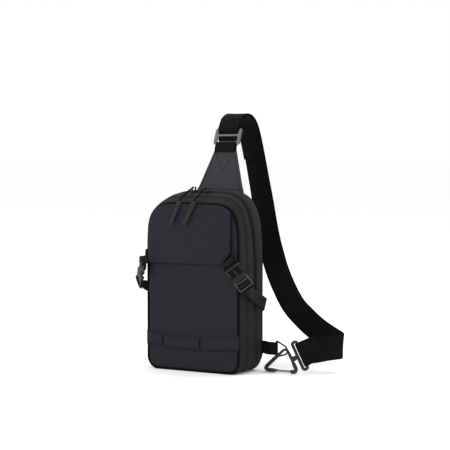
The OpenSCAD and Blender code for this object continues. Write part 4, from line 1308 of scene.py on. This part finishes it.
STRAP_ROUTE = [[3, 78, 393, 1, 0, 0], [6, 90, 400, 1, 0, 0], [9, 104, 396.5, 1, 0, 0],
               [11, 117, 382, 1, 0, 0], [12, 130, 352, 1, 0, 0], [14.5, 144, 302, 1, 0.05, 0],
               [18.5, 150, 265.5, 1, 0.1, 0], [28, 150, 214, 1, 0.2, 0.1], [39, 146, 178, 1, 0.3, 0.15],
               [58, 135, 141, 1, 0.6, 0.25], [90, 120, 98.5, 0.85, 0.6, 0.5],
               [123, 105, 75.5, 0.75, 0.4, 0.75], [151.5, 93, 60.5, 0.6, 0.2, 0.85],
               [180, 84, 49, 0.4, 0.1, 1], [199, 77, 43, 0.15, 0, 1], [205.5, 70, 41, 0.05, 0, 1],
               [203, 62.5, 40.5, 0.05, 0, 1], [190, 47, 39, 0, 0, 1], [179, 34, 37.2, -0.3, 0, 0.95]]
START = [[*glide_point(0, v, n), 1, 0, 0] for v,
         n in [(-5, -3.1), (2, -3.1), (6.6, -0.6), (12, 3.1), (19, 2.6)]]
END = []
for out, back in [(9, 5.8), (0.6, 3.4), (-2.4, 2.4), (-3.4, 0), (-2.4, -2.4), (0.6, -3.4), (7, -1.2),
                  (18, 7.2), (26, 15.4)]:
    c = hook_xyz(SWIVEL_AT + SWIVEL * (20 + out)) + [0, back, 0]
    END.append([*c, -LEG[0], 0, -LEG[1]])
strap = ribbon("strap", [[*s, STRAP_W] for s in START + STRAP_ROUTE + END], STRAP_T, WEBBING, steps=8,
               across=13)
place(strap, "bag", "webbing", "shoulder_strap")
TAIL_ROUTE = [[*glide_point(0, v, n), 1, 0, 0] for v,
              n in [(-6, -5.4), (4, -5.6), (14, -4.4), (20, -0.2)]]
TAIL_ROUTE += [[3.4, 78.8, 390.2, 1, 0, 0], [6.4, 90, 397, 1, 0, 0], [9.2, 102, 393.6, 1, 0, 0],
               [10.8, 113.8, 380, 1, 0, 0], [11.6, 126, 352, 1, 0, 0], [13, 133, 328, 1, 0, 0]]
place(ribbon("strap_end", [[*s, STRAP_W] for s in TAIL_ROUTE], STRAP_T, WEBBING, steps=8, across=13),
      "bag", "webbing", "shoulder_strap_tail")

# ---------- back pads ----------


PAD_W, PAD_H, PAD_BOTTOM, PAD_CORNER = 62, 210, 30, 8
CLOTH_FRAMES = 20


def back_pads():
    """Two foam pads, their corners drawn in to a round."""
    pads = []
    u, v = spread(PAD_W, 3, 26), spread(PAD_H, 3, 70)
    from_side = np.minimum(u, 1 - u)[None, :] * PAD_W + 0 * v[:, None]
    from_end = np.minimum(v, 1 - v)[:, None] * PAD_H + 0 * u[None, :]
    pull_in = np.clip(PAD_CORNER - np.stack([from_side, from_end], -1), 0, PAD_CORNER)
    reach = np.linalg.norm(pull_in, axis=-1)
    scale = np.where(reach > PAD_CORNER, PAD_CORNER / np.maximum(reach, 1e-6), 1.0)
    shift = pull_in * (1 - scale)[..., None]
    for x0, x1 in ((-68, -6), (6, 68)):
        grid = np.array([[[x0 + (x1 - x0) * a, 35.2, PAD_BOTTOM + PAD_H * b] for a in u] for b in v])
        rise = 4.6 * (1 - np.exp(-np.minimum(from_side, from_end) / 2.6)) + wobble(grid, 30, 0.25)
        grid[..., 0] -= np.sign(grid[..., 0] - (x0 + x1) / 2) * shift[..., 0]
        grid[..., 2] -= np.sign(grid[..., 2] - PAD_BOTTOM - PAD_H / 2) * shift[..., 1]
        pads.append(slab("pad", grid + np.array([0, 1, 0]) * rise[..., None], grid - [0, 0.1, 0], MESH))
    return join("pads", pads)


def inflate(obj, pressure, limit, base_y):
    """Blows a closed cloth form up with a short simulation; what lies at base_y is sewn down."""
    mesh = obj.data
    rest = np.array([v.co for v in mesh.vertices])
    sewn = obj.vertex_groups.new(name="sewn")
    sewn.add(np.flatnonzero(rest[:, 1] < base_y * MM).tolist(), 1.0, "REPLACE")
    cloth = obj.modifiers.new("cloth", "CLOTH")
    cloth.settings.use_pressure = True
    cloth.settings.uniform_pressure_force = pressure
    cloth.settings.effector_weights.gravity = 0
    cloth.settings.vertex_group_mass = "sewn"
    scene = bpy.context.scene
    for step in range(1, CLOTH_FRAMES + 1):
        scene.frame_set(step)
    blown = obj.evaluated_get(bpy.context.evaluated_depsgraph_get()).data
    moved = np.array([v.co for v in blown.vertices]) - rest
    far = np.linalg.norm(moved, axis=1, keepdims=True)
    moved *= np.minimum(1, limit * MM / np.maximum(far, 1e-9))
    obj.modifiers.remove(cloth)
    obj.vertex_groups.remove(sewn)
    mesh.vertices.foreach_set("co", (rest + moved).astype(np.float32).ravel())
    mesh.update()
    scene.frame_set(1)


pads = back_pads()
inflate(pads, pressure=4.0, limit=1.8, base_y=35.6)
place(pads, "bag", "mesh_fabric", "back_pads")
